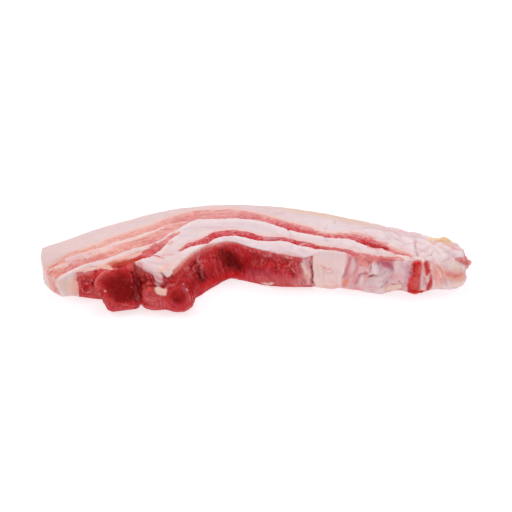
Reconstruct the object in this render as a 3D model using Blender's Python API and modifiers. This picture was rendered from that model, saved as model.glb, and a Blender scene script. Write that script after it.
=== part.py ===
# Pork belly slice: a thick strip of raw belly lying on one cut face.
# The rind side is the outer, convex edge of the bend and the rib side is the
# inner, ragged edge.  One closed solid; units are metres, +Z is up, and the
# origin is the middle of the base, on the surface the slice lies on.

import math

import bpy
import bmesh

# ------------------------------------------------------------------ sizes
THICKNESS = 0.0250          # height of the slice over most of its length
BEND_RADIUS = 0.1900        # bend of the rind edge, seen from above
BEND_CENTRE = (-0.00154, -0.14251)   # the bend's centre, from the origin
LEFT_END_DEG = -45.4        # where the slice ends, in degrees round the bend
RIGHT_END_DEG = 46.9
END_ROUNDING = 0.0035       # how far an end face swells out at mid height

# Stations round the bend: (degrees, metres).
# How far the rind edge lies outside (+) or inside (-) the bend radius.
RIND_OFFSET = ((-46, 0.0040), (-40, 0.0000), (-30, -0.0010), (-14, 0.0012),
               (2, -0.0010), (24, -0.0068), (36, -0.0040), (43, 0.0040),
               (47, 0.0030))
# Distance of the rib edge inside the bend radius, at the top and at the base.
DEPTH_TOP = ((-46, 0.0230), (-42, 0.0345), (-38, 0.0480), (-33, 0.0560),
             (-29, 0.0640), (-24, 0.0700), (-18, 0.0585), (-11, 0.0470),
             (-6, 0.0465), (0, 0.0550), (8, 0.0610), (14, 0.0630),
             (20, 0.0520), (28, 0.0485), (33, 0.0460), (38, 0.0385),
             (43, 0.0285), (47, 0.0230))
DEPTH_BASE = ((-46, 0.0240), (-42, 0.0400), (-38, 0.0540), (-33, 0.0610),
              (-29, 0.0690), (-24, 0.0760), (-18, 0.0700), (-11, 0.0605),
              (-6, 0.0545), (0, 0.0580), (8, 0.0615), (14, 0.0600),
              (20, 0.0560), (28, 0.0490), (33, 0.0450), (38, 0.0365),
              (43, 0.0250), (47, 0.0190))
# Height of the cut face: the slice thins towards both ends.
HEIGHT = ((-47, 0.0236), (-42, 0.0244), (-34, 0.0250), (34, 0.0250),
          (40, 0.0243), (47, 0.0215))
# Extra thinning at the front (rib side) corners of the two ends.
CORNER_DROP_LEFT = 0.0085
CORNER_DROP_RIGHT = 0.0060

# Muscle lobes that bulge out of the rib edge: (degrees, half width in
# degrees, how far they stand out).
LOBES = ((-38.9, 5.4, 0.0155), (-25.8, 5.8, 0.0140))
# The cleft between the two lobes.
CLEFT_DEG, CLEFT_WIDTH_DEG, CLEFT_DEPTH = -31.8, 1.5, 0.0050
# The rib edge bulges a little at mid height.
RIB_SWELL = 0.0012

# Cage: cells along the bend, from rind to rib, and through the thickness.
CELLS_ALONG, CELLS_ACROSS, CELLS_UP = 44, 6, 4
# Where the loops lie across and up, close to the edges to keep them crisp.
LOOPS_ACROSS = (0.0, 0.07, 0.30, 0.55, 0.78, 0.94, 1.0)
LOOPS_UP = (0.0, 0.13, 0.50, 0.87, 1.0)

FAT_COLOUR = (0.80, 0.56, 0.53, 1.0)


# ------------------------------------------------------------------ shape
def along(table, deg):
    """Smooth value of a station table at an angle round the bend."""
    if deg <= table[0][0]:
        return table[0][1]
    for (a0, v0), (a1, v1) in zip(table, table[1:]):
        if deg <= a1:
            w = (deg - a0) / (a1 - a0)
            w = 0.35 * w + 0.65 * w * w * (3.0 - 2.0 * w)
            return v0 + (v1 - v0) * w
    return table[-1][1]


def bump(deg, centre, half_width):
    """A round bulge, 1 at its centre and 0 at its half width and beyond."""
    w = abs(deg - centre) / half_width
    return 0.0 if w >= 1.0 else math.cos(0.5 * math.pi * w) ** 1.5


def loop_position(table, share):
    """Even share 0..1 along a row of loops turned into the loop's place."""
    x = share * (len(table) - 1)
    i = min(int(x), len(table) - 2)
    return table[i] + (table[i + 1] - table[i]) * (x - i)


def length_position(share):
    """Cells along the bend, closer together at the two ends."""
    return share - 0.11 * math.sin(2.0 * math.pi * share) / math.pi


def end_swell(up, across):
    """How far an end face stands out, full in its middle."""
    return END_ROUNDING * math.sin(math.pi * up) * math.sin(math.pi * across)


def place(a, b, c):
    """Cage point: a along the bend, b from rind to rib, c from base to top."""
    up = loop_position(LOOPS_UP, c)
    across = loop_position(LOOPS_ACROSS, b)
    share = length_position(a)
    deg = LEFT_END_DEG + (RIGHT_END_DEG - LEFT_END_DEG) * share

    rind = BEND_RADIUS + along(RIND_OFFSET, deg)
    depth = (along(DEPTH_BASE, deg) * (1.0 - up) + along(DEPTH_TOP, deg) * up)
    swell = math.sin(math.pi * up)
    for centre, half_width, out in LOBES:
        depth += out * bump(deg, centre, half_width) * (0.55 + 0.45 * swell)
    depth -= CLEFT_DEPTH * bump(deg, CLEFT_DEG, CLEFT_WIDTH_DEG)
    depth += RIB_SWELL * swell
    rib = BEND_RADIUS - depth
    radius = rind + (rib - rind) * across

    height = along(HEIGHT, deg)
    left = max(0.0, (-36.0 - deg) / 10.0)
    right = max(0.0, (deg - 38.0) / 8.4)
    height -= (CORNER_DROP_LEFT * left + CORNER_DROP_RIGHT * right) * across
    z = height * up

    angle = math.radians(deg)
    x = BEND_CENTRE[0] + radius * math.sin(angle)
    y = BEND_CENTRE[1] + radius * math.cos(angle)
    if a < 0.001 or a > 0.999:
        side = -1.0 if a < 0.5 else 1.0
        out = end_swell(up, across)
        x += side * out * math.cos(angle)
        y -= side * out * math.sin(angle)
    return x, y, z


# ------------------------------------------------------------------ build
def clear_scene():
    for obj in list(bpy.data.objects):
        bpy.data.objects.remove(obj, do_unlink=True)


def cut_along(bm, axis, cells):
    """Cut every edge that runs along one axis into equal cells."""
    edges = [e for e in bm.edges
             if abs((e.verts[0].co - e.verts[1].co)[axis]) > 0.5 * (
                 e.verts[0].co - e.verts[1].co).length]
    bmesh.ops.subdivide_edges(bm, edges=edges, cuts=cells - 1,
                              use_grid_fill=True)


def make_material():
    material = bpy.data.materials.new("raw_belly")
    material.use_nodes = True
    shader = material.node_tree.nodes["Principled BSDF"]
    shader.inputs["Base Color"].default_value = FAT_COLOUR
    shader.inputs["Roughness"].default_value = 0.42
    shader.inputs["Metallic"].default_value = 0.0
    return material


def make_slice(collection):
    bm = bmesh.new()
    bmesh.ops.create_cube(bm, size=1.0)
    cut_along(bm, 0, CELLS_ALONG)
    cut_along(bm, 1, CELLS_ACROSS)
    cut_along(bm, 2, CELLS_UP)
    for vert in bm.verts:
        a = vert.co.x + 0.5
        b = 0.5 - vert.co.y          # the rind is at +Y, the rib edge at -Y
        c = vert.co.z + 0.5
        vert.co = place(min(max(a, 0.0), 1.0), min(max(b, 0.0), 1.0),
                        min(max(c, 0.0), 1.0))
    bmesh.ops.recalc_face_normals(bm, faces=bm.faces)
    mesh = bpy.data.meshes.new("pork_belly_slab")
    bm.to_mesh(mesh)
    bm.free()
    mesh.shade_smooth()

    slab = bpy.data.objects.new("pork_belly_slab", mesh)
    collection.objects.link(slab)
    slab.data.materials.append(make_material())
    rounding = slab.modifiers.new("soft_form", "SUBSURF")
    rounding.levels = 1
    rounding.render_levels = 1
    return slab


def main():
    clear_scene()
    parts = bpy.data.collections.new("pork_belly_slab")
    bpy.context.scene.collection.children.link(parts)
    make_slice(parts)


main()
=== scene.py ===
import math

import bpy
import numpy as np
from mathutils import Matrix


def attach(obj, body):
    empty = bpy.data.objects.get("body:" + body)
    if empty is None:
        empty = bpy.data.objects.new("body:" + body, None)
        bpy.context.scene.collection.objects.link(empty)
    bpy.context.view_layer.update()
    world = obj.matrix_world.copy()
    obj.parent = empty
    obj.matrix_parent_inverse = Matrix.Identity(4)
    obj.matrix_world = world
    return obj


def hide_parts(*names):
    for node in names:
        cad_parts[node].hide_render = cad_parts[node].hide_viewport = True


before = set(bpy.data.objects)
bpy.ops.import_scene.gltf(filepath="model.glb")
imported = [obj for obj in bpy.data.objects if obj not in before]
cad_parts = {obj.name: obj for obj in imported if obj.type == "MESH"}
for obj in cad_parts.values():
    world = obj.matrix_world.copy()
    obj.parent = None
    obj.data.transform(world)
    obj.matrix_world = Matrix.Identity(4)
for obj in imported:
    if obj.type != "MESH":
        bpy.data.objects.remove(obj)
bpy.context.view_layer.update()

# ---- shape begin
CX, CY, BEND = -1.54, -142.51, 190.0


def curve(*stations):
    """A smooth curve through stations (place, value)."""
    xs = np.array([s[0] for s in stations], float)
    ys = np.array([s[1] for s in stations], float)
    d = np.diff(ys) / np.diff(xs)
    m = np.zeros_like(ys)
    prod = d[1:] * d[:-1]
    m[1:-1] = np.where(prod > 0, 2 * prod / (d[1:] + d[:-1] + 1e-12), 0.0)
    m[0], m[-1] = d[0], d[-1]
    fine = np.linspace(xs[0], xs[-1], 1500)
    i = np.clip(np.searchsorted(xs, fine, side="right") - 1, 0, len(xs) - 2)
    w = xs[i + 1] - xs[i]
    u = (fine - xs[i]) / w
    v = ((1 + 2 * u) * (1 - u) ** 2 * ys[i] + u * (1 - u) ** 2 * w * m[i]
         + u * u * (3 - 2 * u) * ys[i + 1] + u * u * (u - 1) * w * m[i + 1])
    return lambda x: np.interp(x, fine, v)


def smin(a, b, k):
    h = np.clip(0.5 + 0.5 * (b - a) / k, 0.0, 1.0)
    return b + (a - b) * h - k * h * (1.0 - h)


def smax(a, b, k):
    return -smin(-a, -b, k)


def step(a, b, x):
    u = np.clip((x - a) / (b - a), 0.0, 1.0)
    return u * u * (3.0 - 2.0 * u)


def hump(x, centre, half):
    u = np.clip(1.0 - np.abs(x - centre) / half, 0.0, 1.0)
    return u * u * (3.0 - 2.0 * u)


def noise(x, y, z, seed=0):
    """Smooth random field between about -1 and 1, one bump per unit."""
    x, y, z = np.broadcast_arrays(x, y, z)
    ix, iy, iz = np.floor(x), np.floor(y), np.floor(z)
    fx, fy, fz = x - ix, y - iy, z - iz
    ux, uy, uz = (f * f * f * (f * (f * 6 - 15) + 10) for f in (fx, fy, fz))
    ix, iy, iz = (i.astype(np.int64).astype(np.uint32) for i in (ix, iy, iz))
    total = 0.0
    salt = np.uint32((seed * 3266489917 + 12345) & 0xFFFFFFFF)
    for dx in (0, 1):
        wx = ux if dx else 1 - ux
        hx = (ix + np.uint32(dx)) * np.uint32(374761393) + salt
        for dy in (0, 1):
            wy = wx * (uy if dy else 1 - uy)
            hy = hx + (iy + np.uint32(dy)) * np.uint32(668265263)
            for dz in (0, 1):
                h = hy + (iz + np.uint32(dz)) * np.uint32(2246822519)
                h = (h ^ (h >> np.uint32(13))) * np.uint32(1274126177)
                h = (h ^ (h >> np.uint32(16))) * np.uint32(2654435761)
                h = h ^ (h >> np.uint32(15))
                g = (((h & np.uint32(1023)) * (2.0 / 1023) - 1) * (fx - dx)
                     + (((h >> np.uint32(10)) & np.uint32(1023)) * (2.0 / 1023) - 1) * (fy - dy)
                     + (((h >> np.uint32(20)) & np.uint32(1023)) * (2.0 / 1023) - 1) * (fz - dz))
                total = total + wy * (uz if dz else 1 - uz) * g
    return total * 1.3


def fbm(x, y, z, octaves=3, seed=0):
    total, gain, norm = 0.0, 1.0, 0.0
    for k in range(octaves):
        f = 2.03 ** k
        total = total + gain * noise(x * f, y * f, z * f, seed + 17 * k)
        norm += gain
        gain *= 0.5
    return total / norm


def strip(p):
    """Angle round the bend in degrees, distance out from the bend radius."""
    dx, dy = p[..., 0] - CX, p[..., 1] - CY
    return np.degrees(np.arctan2(dx, dy)), np.hypot(dx, dy) - BEND


def nearest(u, v, points):
    """Distance from (u, v) to a drawn line, and the share along it."""
    best = np.full(np.shape(u), 1e9)
    where = np.zeros(np.shape(u))
    n = len(points) - 1
    for i in range(n):
        (ax, ay), (bx, by) = points[i], points[i + 1]
        dx, dy = bx - ax, by - ay
        w = np.clip(((u - ax) * dx + (v - ay) * dy) / (dx * dx + dy * dy + 1e-9), 0, 1)
        d = np.hypot(u - ax - w * dx, v - ay - w * dy)
        near = d < best
        best = np.where(near, d, best)
        where = np.where(near, (i + w) / n, where)
    return best, where


# Where the outer surfaces lie, by angle: distance out from the bend radius.
RIND = curve((-50, 5.0), (-45, 3.2), (-40, 0.0), (-30, -0.8), (-14, 2.1), (-6, 1.5), (2, -0.7),
             (24, -6.4), (33, -4.0), (36, -2.2), (38, -1.4), (39.9, -2.3), (41.6, 0.8), (43.1, 3.8), (50, 5.4))
FRONT_TOP = curve((-50, -19), (-46, -24.0), (-42, -34.5), (-38, -44.0), (-34.5, -49.0),
                  (-32.5, -57.0), (-30.5, -66.0), (-28, -73.0), (-24, -69.0),
                  (-18, -57.4), (-11, -47.5), (-6, -46.5), (0, -55.0), (8, -61.5),
                  (14, -63.0), (20, -52.0), (28, -48.5), (33, -46.0), (38, -38.5),
                  (43, -28.5), (47, -22.0), (50, -20.0))
FRONT_LOW = curve((-50, -20), (-46, -25.0), (-42, -40.0), (-38, -50.0), (-34.5, -54.0),
                  (-32, -58.0), (-28, -72.0), (-24, -78.0),
                  (-18, -72.0), (-11, -61.5), (-6, -54.2), (-3.5, -56.5), (0, -59.8), (4, -62.8), (8, -63.2),
                  (14, -61.0), (18, -58.5), (22, -57.5), (24.5, -53.5), (28, -51.5), (33, -49.0),
                  (35, -46.5), (37, -38.5), (38.3, -35.5), (40.1, -35.0), (41.4, -33.5),
                  (42.4, -29.0), (43.2, -22.5), (44.8, -17.0), (47, -10.5), (50, -5.0))
HEIGHT = curve((-50, 23.4), (-42, 24.4), (-34, 25.0), (34, 25.0), (40, 24.3), (50, 21.0))

# Bands of lean seen on the cut face: angle, rind-side edge, rib-side edge,
# how dark, how deep the band lies under the fat beside it (mm).
STREAKS = (
    ((-50, -12, -13, 0.14, 0.4), (-47, -11.6, -12.8, 0.16, 0.5), (-44.6, -12.9, -14.3, 0.2, 0.6),
     (-42.3, -14, -15.6, 0.18, 0.6), (-40.1, -15.7, -17.9, 0.13, 0.5), (-38, -17.2, -20.6, 0.11, 0.3),
     (-35.7, -18.2, -22.4, 0.13, 0.3), (-33, -17, -21.7, 0.16, 0.3), (-30.6, -16.4, -22.1, 0.22, 0.3),
     (-28.1, -16.2, -21.9, 0.21, 0.3), (-25.6, -15, -20.9, 0.2, 0.3), (-23.1, -14, -20.1, 0.24, 0.4),
     (-20.6, -11.6, -17.8, 0.26, 0.4), (-18.2, -9.2, -16, 0.27, 0.5), (-15.8, -6.9, -14.5, 0.35, 0.6),
     (-13.5, -4.9, -13.7, 0.3, 0.7), (-11.4, -4.5, -15.3, 0.33, 0.8), (-9.3, -4.8, -16.6, 0.32, 0.9),
     (-7.2, -5.4, -17.3, 0.32, 1), (-5, -5.6, -17.4, 0.33, 1), (-2.9, -7.3, -18, 0.4, 1),
     (-0.7, -10.1, -19.4, 0.43, 1.1), (1.5, -12.6, -21, 0.43, 1.1), (3.7, -15.6, -23.8, 0.45, 1.1),
     (6, -19.2, -27.5, 0.58, 1.1), (8.5, -22.1, -31.1, 0.59, 1.1), (11, -24, -33, 0.58, 1),
     (13.4, -26, -33.8, 0.56, 0.8), (16, -29.2, -34.3, 0.45, 0.6), (18.5, -29.4, -34.7, 0.54, 0.7),
     (20.8, -26.3, -33.2, 0.54, 0.8), (23, -24.9, -32, 0.56, 0.9), (25.5, -24.4, -32.6, 0.66, 1.1),
     (27, -24.2, -33.8, 0.76, 1.2), (28.3, -24.9, -35, 0.82, 1.5), (29.7, -26.7, -34.6, 0.88, 1.6),
     (31, -27.4, -33.7, 0.92, 1.6), (32.2, -27.4, -32.8, 0.92, 1.5), (33.6, -28.5, -33.2, 0.43, 0.9),
     (36.1, -29.5, -32.7, 0.39, 0.6), (38.1, -29, -31.4, 0.33, 0.5), (39.2, -28.8, -29.2, 0.2, 0.3),
     (40, -29, -28.6, 0.2, 0)),
    ((-50, -14, -21, 0.3, 0.4), (-47.2, -14.4, -20, 0.24, 0.4), (-46, -15.8, -20.6, 0.27, 0.5),
     (-45, -17, -22.4, 0.29, 0.5), (-44, -18.6, -23.9, 0.32, 0.5), (-42, -21.9, -27.2, 0.32, 0.6),
     (-40.1, -24.6, -31, 0.32, 0.6), (-39, -26.2, -33, 0.34, 0.6), (-38.2, -27.6, -35, 0.34, 0.6),
     (-35.8, -29.2, -36.6, 0.25, 0.6), (-33, -28.6, -36, 0.27, 0.6), (-30.2, -28, -34.9, 0.25, 0.6),
     (-27.5, -26.4, -35, 0.27, 0.6), (-24.8, -24.9, -34.1, 0.35, 0.6), (-22.1, -22.3, -32.2, 0.27, 0.7),
     (-19.2, -18.8, -27.2, 0.25, 0.7), (-16.4, -15.6, -21.8, 0.25, 0.7), (-14, -14.6, -17.6, 0.25, 0.6),
     (-12.6, -14.5, -15.8, 0.3, 0.5), (-12, -14.9, -14.7, 0.3, 0)),
    ((-40.2, -46.4, -46.2, 0.8, 0), (-39, -44.8, -47.8, 0.85, 1), (-38, -44.8, -49.7, 0.85, 1.6),
     (-36.5, -44.3, -50.3, 0.85, 2), (-33.4, -43.1, -50.3, 0.85, 2.4), (-31.8, -41.7, -50.4, 0.85, 2.4),
     (-30.3, -40.7, -50, 0.64, 2.2), (-28.7, -41, -49.8, 0.61, 2), (-27, -39.2, -48.4, 0.58, 2),
     (-25.3, -37.2, -46.4, 0.58, 1.9), (-23.6, -35.2, -42.9, 0.53, 1.7), (-21.8, -32.4, -38, 0.44, 1.4),
     (-20.3, -30.6, -34.8, 0.4, 1.1), (-18.2, -29, -31, 0.29, 0.8), (-17, -28.1, -27.9, 0.24, 0)),
    ((-20.6, -51.2, -51, 0.42, 0), (-20, -50.1, -51.3, 0.47, 0.5), (-18, -46.3, -49.2, 0.57, 0.9),
     (-16.5, -43.5, -47.7, 0.62, 1.1), (-15.1, -42.6, -47.3, 0.64, 1.2), (-13.7, -41.6, -47.1, 0.66, 1.2),
     (-12.3, -39.5, -46, 0.66, 1.2), (-10.9, -36.7, -44.1, 0.7, 1.2), (-9.5, -34.3, -41.6, 0.72, 1.2),
     (-8.2, -33.4, -40.6, 0.72, 1.2), (-6.9, -33, -39.6, 0.68, 1.1), (-5.7, -33.1, -39.4, 0.64, 1),
     (-3.3, -34.5, -41.1, 0.7, 1.1), (-0.8, -36.7, -44.3, 0.72, 1.2), (0.4, -38.8, -45.9, 0.72, 1.2),
     (1.7, -40.5, -46.6, 0.72, 1.2), (4.2, -41.8, -46.8, 0.7, 1.1), (6.8, -41.3, -45.5, 0.66, 1),
     (9.4, -42, -46.2, 0.68, 1), (11.3, -44, -48.9, 0.72, 1.3), (13.5, -44.3, -49.7, 0.68, 1.2),
     (15, -45.3, -50, 0.7, 1.1), (17.7, -46.6, -50.4, 0.7, 1), (20.3, -46, -49.2, 0.7, 0.9),
     (22.8, -44.8, -47.8, 0.68, 0.8), (25.5, -44.6, -47.9, 0.52, 0.8), (27, -45.4, -48.7, 0.5, 0.8),
     (28.5, -44.7, -48.7, 0.41, 0.8), (31, -43.2, -47.6, 0.43, 0.8), (33.5, -41.3, -45.9, 0.48, 0.8),
     (34.6, -40.4, -44.4, 0.48, 0.8), (36.6, -37, -40.4, 0.41, 0.6), (38.3, -36, -37, 0.42, 0.4),
     (39, -36.2, -36, 0.28, 0)),
)
BANDS = [[curve(*[(row[0], row[k]) for row in rows]) for k in (1, 2, 3, 4)]
         + [rows[0][0], rows[-1][0]] for rows in STREAKS]


def ellipsoid(p, centre, radii, power=2.0):
    """Roughly the distance to a rounded lump."""
    a = [(p[..., k] - centre[k]) / radii[k] for k in range(3)]
    k0 = sum(np.abs(v) ** power for v in a) ** (1.0 / power) + 1e-9
    k1 = np.sqrt(sum((v / r) ** 2 for v, r in zip(a, radii))) + 1e-9
    return k0 * (k0 - 1.0) / k1


# The first lobe is a thick muscle cut across: its outline by height.
LOBE_LEFT = curve((-3, -91.0), (0, -92.5), (4.4, -95.0), (10.7, -97.6), (14.5, -100.5), (17.5, -102.0),
                  (21, -100.6), (24, -97.5), (28, -94.0))
LOBE_RIGHT = curve((-3, -73.2), (0, -73.4), (4.7, -73.6), (9.2, -74.4), (12.2, -75.4), (17.4, -76.8),
                   (20.7, -77.4), (28, -76.0))
LOBE_FACE = curve((-3, -44.4), (0, -45.8), (3, -47.2), (8, -47.4), (14, -46.0), (19, -43.6), (22.5, -40.8),
                  (28, -35.0))
LOBE_TOP = curve((-50, 17.0), (-44, 20.6), (-40, 23.4), (-36, 25.2), (-32, 26.0), (-27, 25.6), (-20, 25.0))


def lobes(p):
    """The muscle lobes that stand out of the rib side, as distances."""
    x, y, z = p[..., 0], p[..., 1], p[..., 2]
    first = smax(LOBE_LEFT(z) - x, x - LOBE_RIGHT(z), 3.0)
    first = smax(first, LOBE_FACE(z) + 0.22 * np.maximum(x + 90.0, 0.0) - y, 3.5)
    first = smax(first, z - LOBE_TOP(y) + 0.20 * (-77.0 - x), 3.0)
    first = smax(first, y + 25.0, 3.0)
    second = smin(ellipsoid(p, (-62.9, -36.3, 7.2), (11.2, 10.0, 10.2), 2.3),
                  ellipsoid(p, (-49.0, -36.8, 7.4), (10.6, 12.2, 10.6), 2.2), 3.0)
    return first, second


# The cut ends, by distance out from the bend radius: at the top and at the base.
END_TOP = curve((-60, -47.5), (-30, -48.5), (-20, -49.0), (-11, -48.5), (-3, -47.0), (4, -45.0), (8, -44.6))
END_LOW = curve((-60, -46.3), (-30, -46.9), (-15, -47.2), (-4.5, -46.6), (4.4, -45.3), (8, -45.0))
RIGHT_TOP = curve((-60, 44.0), (-30, 44.6), (-14, 45.6), (-6, 46.2), (0, 45.4), (6, 43.6), (9, 43.0))
RIGHT_LOW = curve((-60, 44.0), (-24, 45.4), (-14, 46.2), (-4, 46.2), (4, 45.4), (8, 45.0))


def flap(p):
    """Soft yellow fat that stands out behind the right end."""
    wave = 1.1 * noise(p[..., 0] / 3.6, p[..., 1] / 3.6, p[..., 2] / 3.0, 15)
    low = ellipsoid(p, (119.4, 6.2, 19.0), (9.8, 6.2, 3.1), 1.5)
    return smin(low, ellipsoid(p, (122.8, 6.0, 20.4), (5.2, 4.8, 3.6), 1.25), 1.2) + wave


def body(p):
    """The slice without its fine relief, negative inside."""
    phi, t = strip(p)
    x, y, z = p[..., 0], p[..., 1], p[..., 2]
    up = np.clip(z / 25.0, 0.0, 1.0)
    mid = np.sin(np.pi * up)
    arc = np.radians(phi) * (BEND - 25.0)
    rind = RIND(phi) + 0.8 * mid + 0.35 * noise(arc / 16.0, z / 12.0, 0.3 + 0.0 * z, 5)
    front = FRONT_TOP(phi) * up + FRONT_LOW(phi) * (1.0 - up) - 0.9 * mid
    across = np.clip((rind - t) / 40.0, 0.0, 1.0)
    left = np.clip((-37.0 - phi) / 9.0, 0.0, 1.3)
    right = np.clip((phi - 38.5) / 8.0, 0.0, 1.3)
    high = HEIGHT(phi) - (7.5 * left ** 1.2 + 2.8 * right) * step(0.0, 0.7, across)
    leave = np.clip((3.0 - t) / 20.0, 0.0, 1.0)
    left_end = END_TOP(t) * up + END_LOW(t) * (1.0 - up)
    right_end = RIGHT_TOP(t) * up + RIGHT_LOW(t) * (1.0 - up) + 0.4 * mid
    per_deg = np.pi / 180.0 * (BEND + t)
    ragged = 0.9 * step(34.0, 42.0, phi) * noise(x / 5.0, y / 5.0, z / 5.0, 19)
    f_left = (left_end - phi) * per_deg
    f_right = (phi - right_end) * per_deg + 1.2 * noise(t / 8.0, z / 7.0, 0.7 + 0.0 * z, 13)
    f = smax(t - rind, (front - t) * 0.88, 3.0)
    f = smax(f, f_left, 1.2)
    f = smax(f, f_right, 3.5)
    f = smax(f, z - high, 2.2) + ragged
    first, second = lobes(p)
    f = smin(f, first, 1.4)
    f = smin(f, second, 1.6)
    # soft bulges of the right end and the flap of fat behind it
    f = smin(f, ellipsoid(p, (112.5, -16.0, 9.5), (7.5, 6.0, 8.0)), 2.5)
    f = smin(f, ellipsoid(p, (125.0, -15.0, 7.2), (11.0, 8.0, 7.6)), 2.5)
    f = smin(f, ellipsoid(p, (132.0, -9.6, 14.6), (6.8, 5.6, 3.8), 1.9) + 1.1 * noise(x / 3.0, y / 3.0, z / 3.0, 17), 2.0)
    f = smin(f, flap(p), 3.0)
    return smax(f, -z, 1.6)
# ---- shape end


# ---------------------------------------------------------------- surface mesh
def surface_nets(field, corner, cell):
    """Quads of the zero level of a sampled field, one vertex in each cell."""
    inside = field < 0
    count = np.zeros([k - 1 for k in inside.shape], np.int8)
    corners = [(i, j, k) for i in (0, 1) for j in (0, 1) for k in (0, 1)]
    nx, ny, nz = inside.shape
    for i, j, k in corners:
        count += inside[i:nx - 1 + i, j:ny - 1 + j, k:nz - 1 + k]
    live = (count > 0) & (count < 8)
    index = -np.ones(live.shape, np.int64)
    cells = np.argwhere(live)
    index[live] = np.arange(len(cells))
    place = np.zeros((len(cells), 3))
    hits = np.zeros(len(cells))
    for a in corners:
        for axis in range(3):
            if a[axis]:
                continue
            b = list(a)
            b[axis] = 1
            fa = field[tuple((cells + a).T)]
            fb = field[tuple((cells + b).T)]
            cross = (fa < 0) != (fb < 0)
            w = np.where(cross, fa / np.where(cross, fa - fb, 1.0), 0.0)
            for m in range(3):
                place[:, m] += cross * (a[m] + (w if m == axis else 0.0))
            hits += cross
    place = corner + (place / hits[:, None] + cells) * cell
    quads = []
    for axis in range(3):
        o1, o2 = ((1, 2), (2, 0), (0, 1))[axis]
        lo, hi = [slice(None)] * 3, [slice(None)] * 3
        lo[axis], hi[axis] = slice(0, -1), slice(1, None)
        edge = np.argwhere(inside[tuple(lo)] != inside[tuple(hi)])
        edge = edge[(edge[:, o1] > 0) & (edge[:, o2] > 0)
                    & (edge[:, o1] < inside.shape[o1] - 1) & (edge[:, o2] < inside.shape[o2] - 1)]
        first = inside[tuple(edge.T)]
        d1, d2 = np.zeros(3, int), np.zeros(3, int)
        d1[o1] = d2[o2] = 1
        quad = np.stack([index[tuple((edge - d1 - d2).T)], index[tuple((edge - d2).T)],
                         index[tuple(edge.T)], index[tuple((edge - d1).T)]], 1)
        quad[~first] = quad[~first][:, ::-1]
        quads.append(quad)
    return place, np.concatenate(quads)


def gradient(p, reach=0.25):
    g = np.empty_like(p)
    for k in range(3):
        q, r = p.copy(), p.copy()
        q[:, k] += reach
        r[:, k] -= reach
        g[:, k] = (body(q) - body(r)) / (2 * reach)
    return g


def make_mesh(cell):
    lo = np.array([-146.0, -54.0, -2.3])
    size = np.array([294.0, 108.0, 33.0])
    n = (size / cell).astype(int)
    axes = [lo[k] + cell * np.arange(n[k]) for k in range(3)]
    coarse = 4
    cx, cy, cz = (a[::coarse] for a in axes)
    rough = body(np.stack(np.meshgrid(cx, cy, cz, indexing="ij"), -1))
    far = np.repeat(np.repeat(np.repeat(rough, coarse, 0), coarse, 1), coarse, 2)
    far = far[:n[0], :n[1], :n[2]]
    field = np.where(far < 0, -5.0, 5.0)
    near = np.argwhere(np.abs(far) < 1.6 + 1.9 * cell * coarse)
    for start in range(0, len(near), 300000):
        part = near[start:start + 300000]
        field[tuple(part.T)] = body(lo + cell * part)
    place, quads = surface_nets(field, lo, cell)
    for _ in range(2):
        g = gradient(place)
        f = body(place)
        place -= g * (f / np.maximum((g * g).sum(1), 0.2))[:, None].clip(-1, 1)
    return place, quads


# ---------------------------------------------------------------- colours
def coarsen_under(place, quads, cell):
    """The flat underside needs fewer faces than what shows: its vertices are merged two by two."""
    low = np.array([-146.0, -54.0])
    flat = place[:, 2] < 0.05
    inner = flat.copy()
    for _ in range(3):
        keep = inner[quads].all(1)
        edge = np.unique(quads[~keep])
        inner[edge] = False
    block = np.floor((place[:, :2] - low) / (2 * cell) + 1e-6).astype(int)
    key = block[:, 0] * 100000 + block[:, 1]
    # a block on the border keeps its own vertices
    mixed = np.unique(key[flat & ~inner])
    inner &= ~np.isin(key, mixed)
    group = np.arange(len(place))
    which = np.nonzero(inner)[0]
    _, first, back = np.unique(key[which], return_index=True, return_inverse=True)
    group[which] = which[first][back]
    centre = np.zeros((len(first), 2))
    np.add.at(centre, back, place[which, :2])
    place[which[first], :2] = centre / np.bincount(back)[:, None]
    faces = []
    for face in group[quads].tolist():
        ring = [v for k, v in enumerate(face) if v != face[k - 1]]
        if len(set(ring)) == len(ring) and len(ring) > 2:
            faces.append(ring)
    used = np.zeros(len(place), bool)
    used[np.concatenate([np.array(f) for f in faces])] = True
    number = np.cumsum(used) - 1
    number = number.tolist()
    return place[used], [[number[v] for v in f] for f in faces]


def linear(*rgb):
    c = np.array(rgb, float) / 255.0
    return np.where(c <= 0.04045, c / 12.92, ((c + 0.055) / 1.055) ** 2.4)


# Inks of the slice's own colours; several also serve as painted light: bright and glint as painted highlights, rose,
# red, bright red and magenta as painted edge light and glow, and lilac fat, lilac, purple, dark, deep and black as
# painted shade.
INK = {
    "bright": linear(238, 221, 222), "white": linear(225, 206, 208), "outer": linear(222, 196, 195),
    "pinkfat": linear(223, 189, 192), "lilac_fat_and_shade": linear(211, 182, 191), "greyfat": linear(225, 197, 186),
    "cream": linear(236, 208, 192), "peach": linear(238, 178, 158), "orange": linear(236, 146, 116),
    "pink": linear(226, 150, 146), "rose": linear(214, 108, 108), "coral": linear(222, 92, 84),
    "red": linear(198, 44, 46), "brightred": linear(212, 34, 34), "dark": linear(146, 12, 14),
    "deep": linear(96, 2, 4), "black": linear(44, 0, 3), "magenta": linear(206, 72, 86),
    "lilac": linear(206, 152, 168), "purple": linear(164, 94, 118), "grey": linear(217, 189, 189),
    "cartilage": linear(240, 208, 202), "tan": linear(223, 193, 174), "skin": linear(236, 208, 192),
    "yellow": linear(235, 203, 160), "brown": linear(120, 58, 54), "glint": linear(236, 190, 188),
    "warmfat": linear(232, 196, 186),
    "rust": linear(198, 84, 62), "stain": linear(238, 190, 176), "seamfat": linear(222, 176, 182),
}


def paint(colour, mask, tint):
    m = np.clip(mask, 0, 1)[:, None]
    return colour * (1 - m) + tint * m


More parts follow.
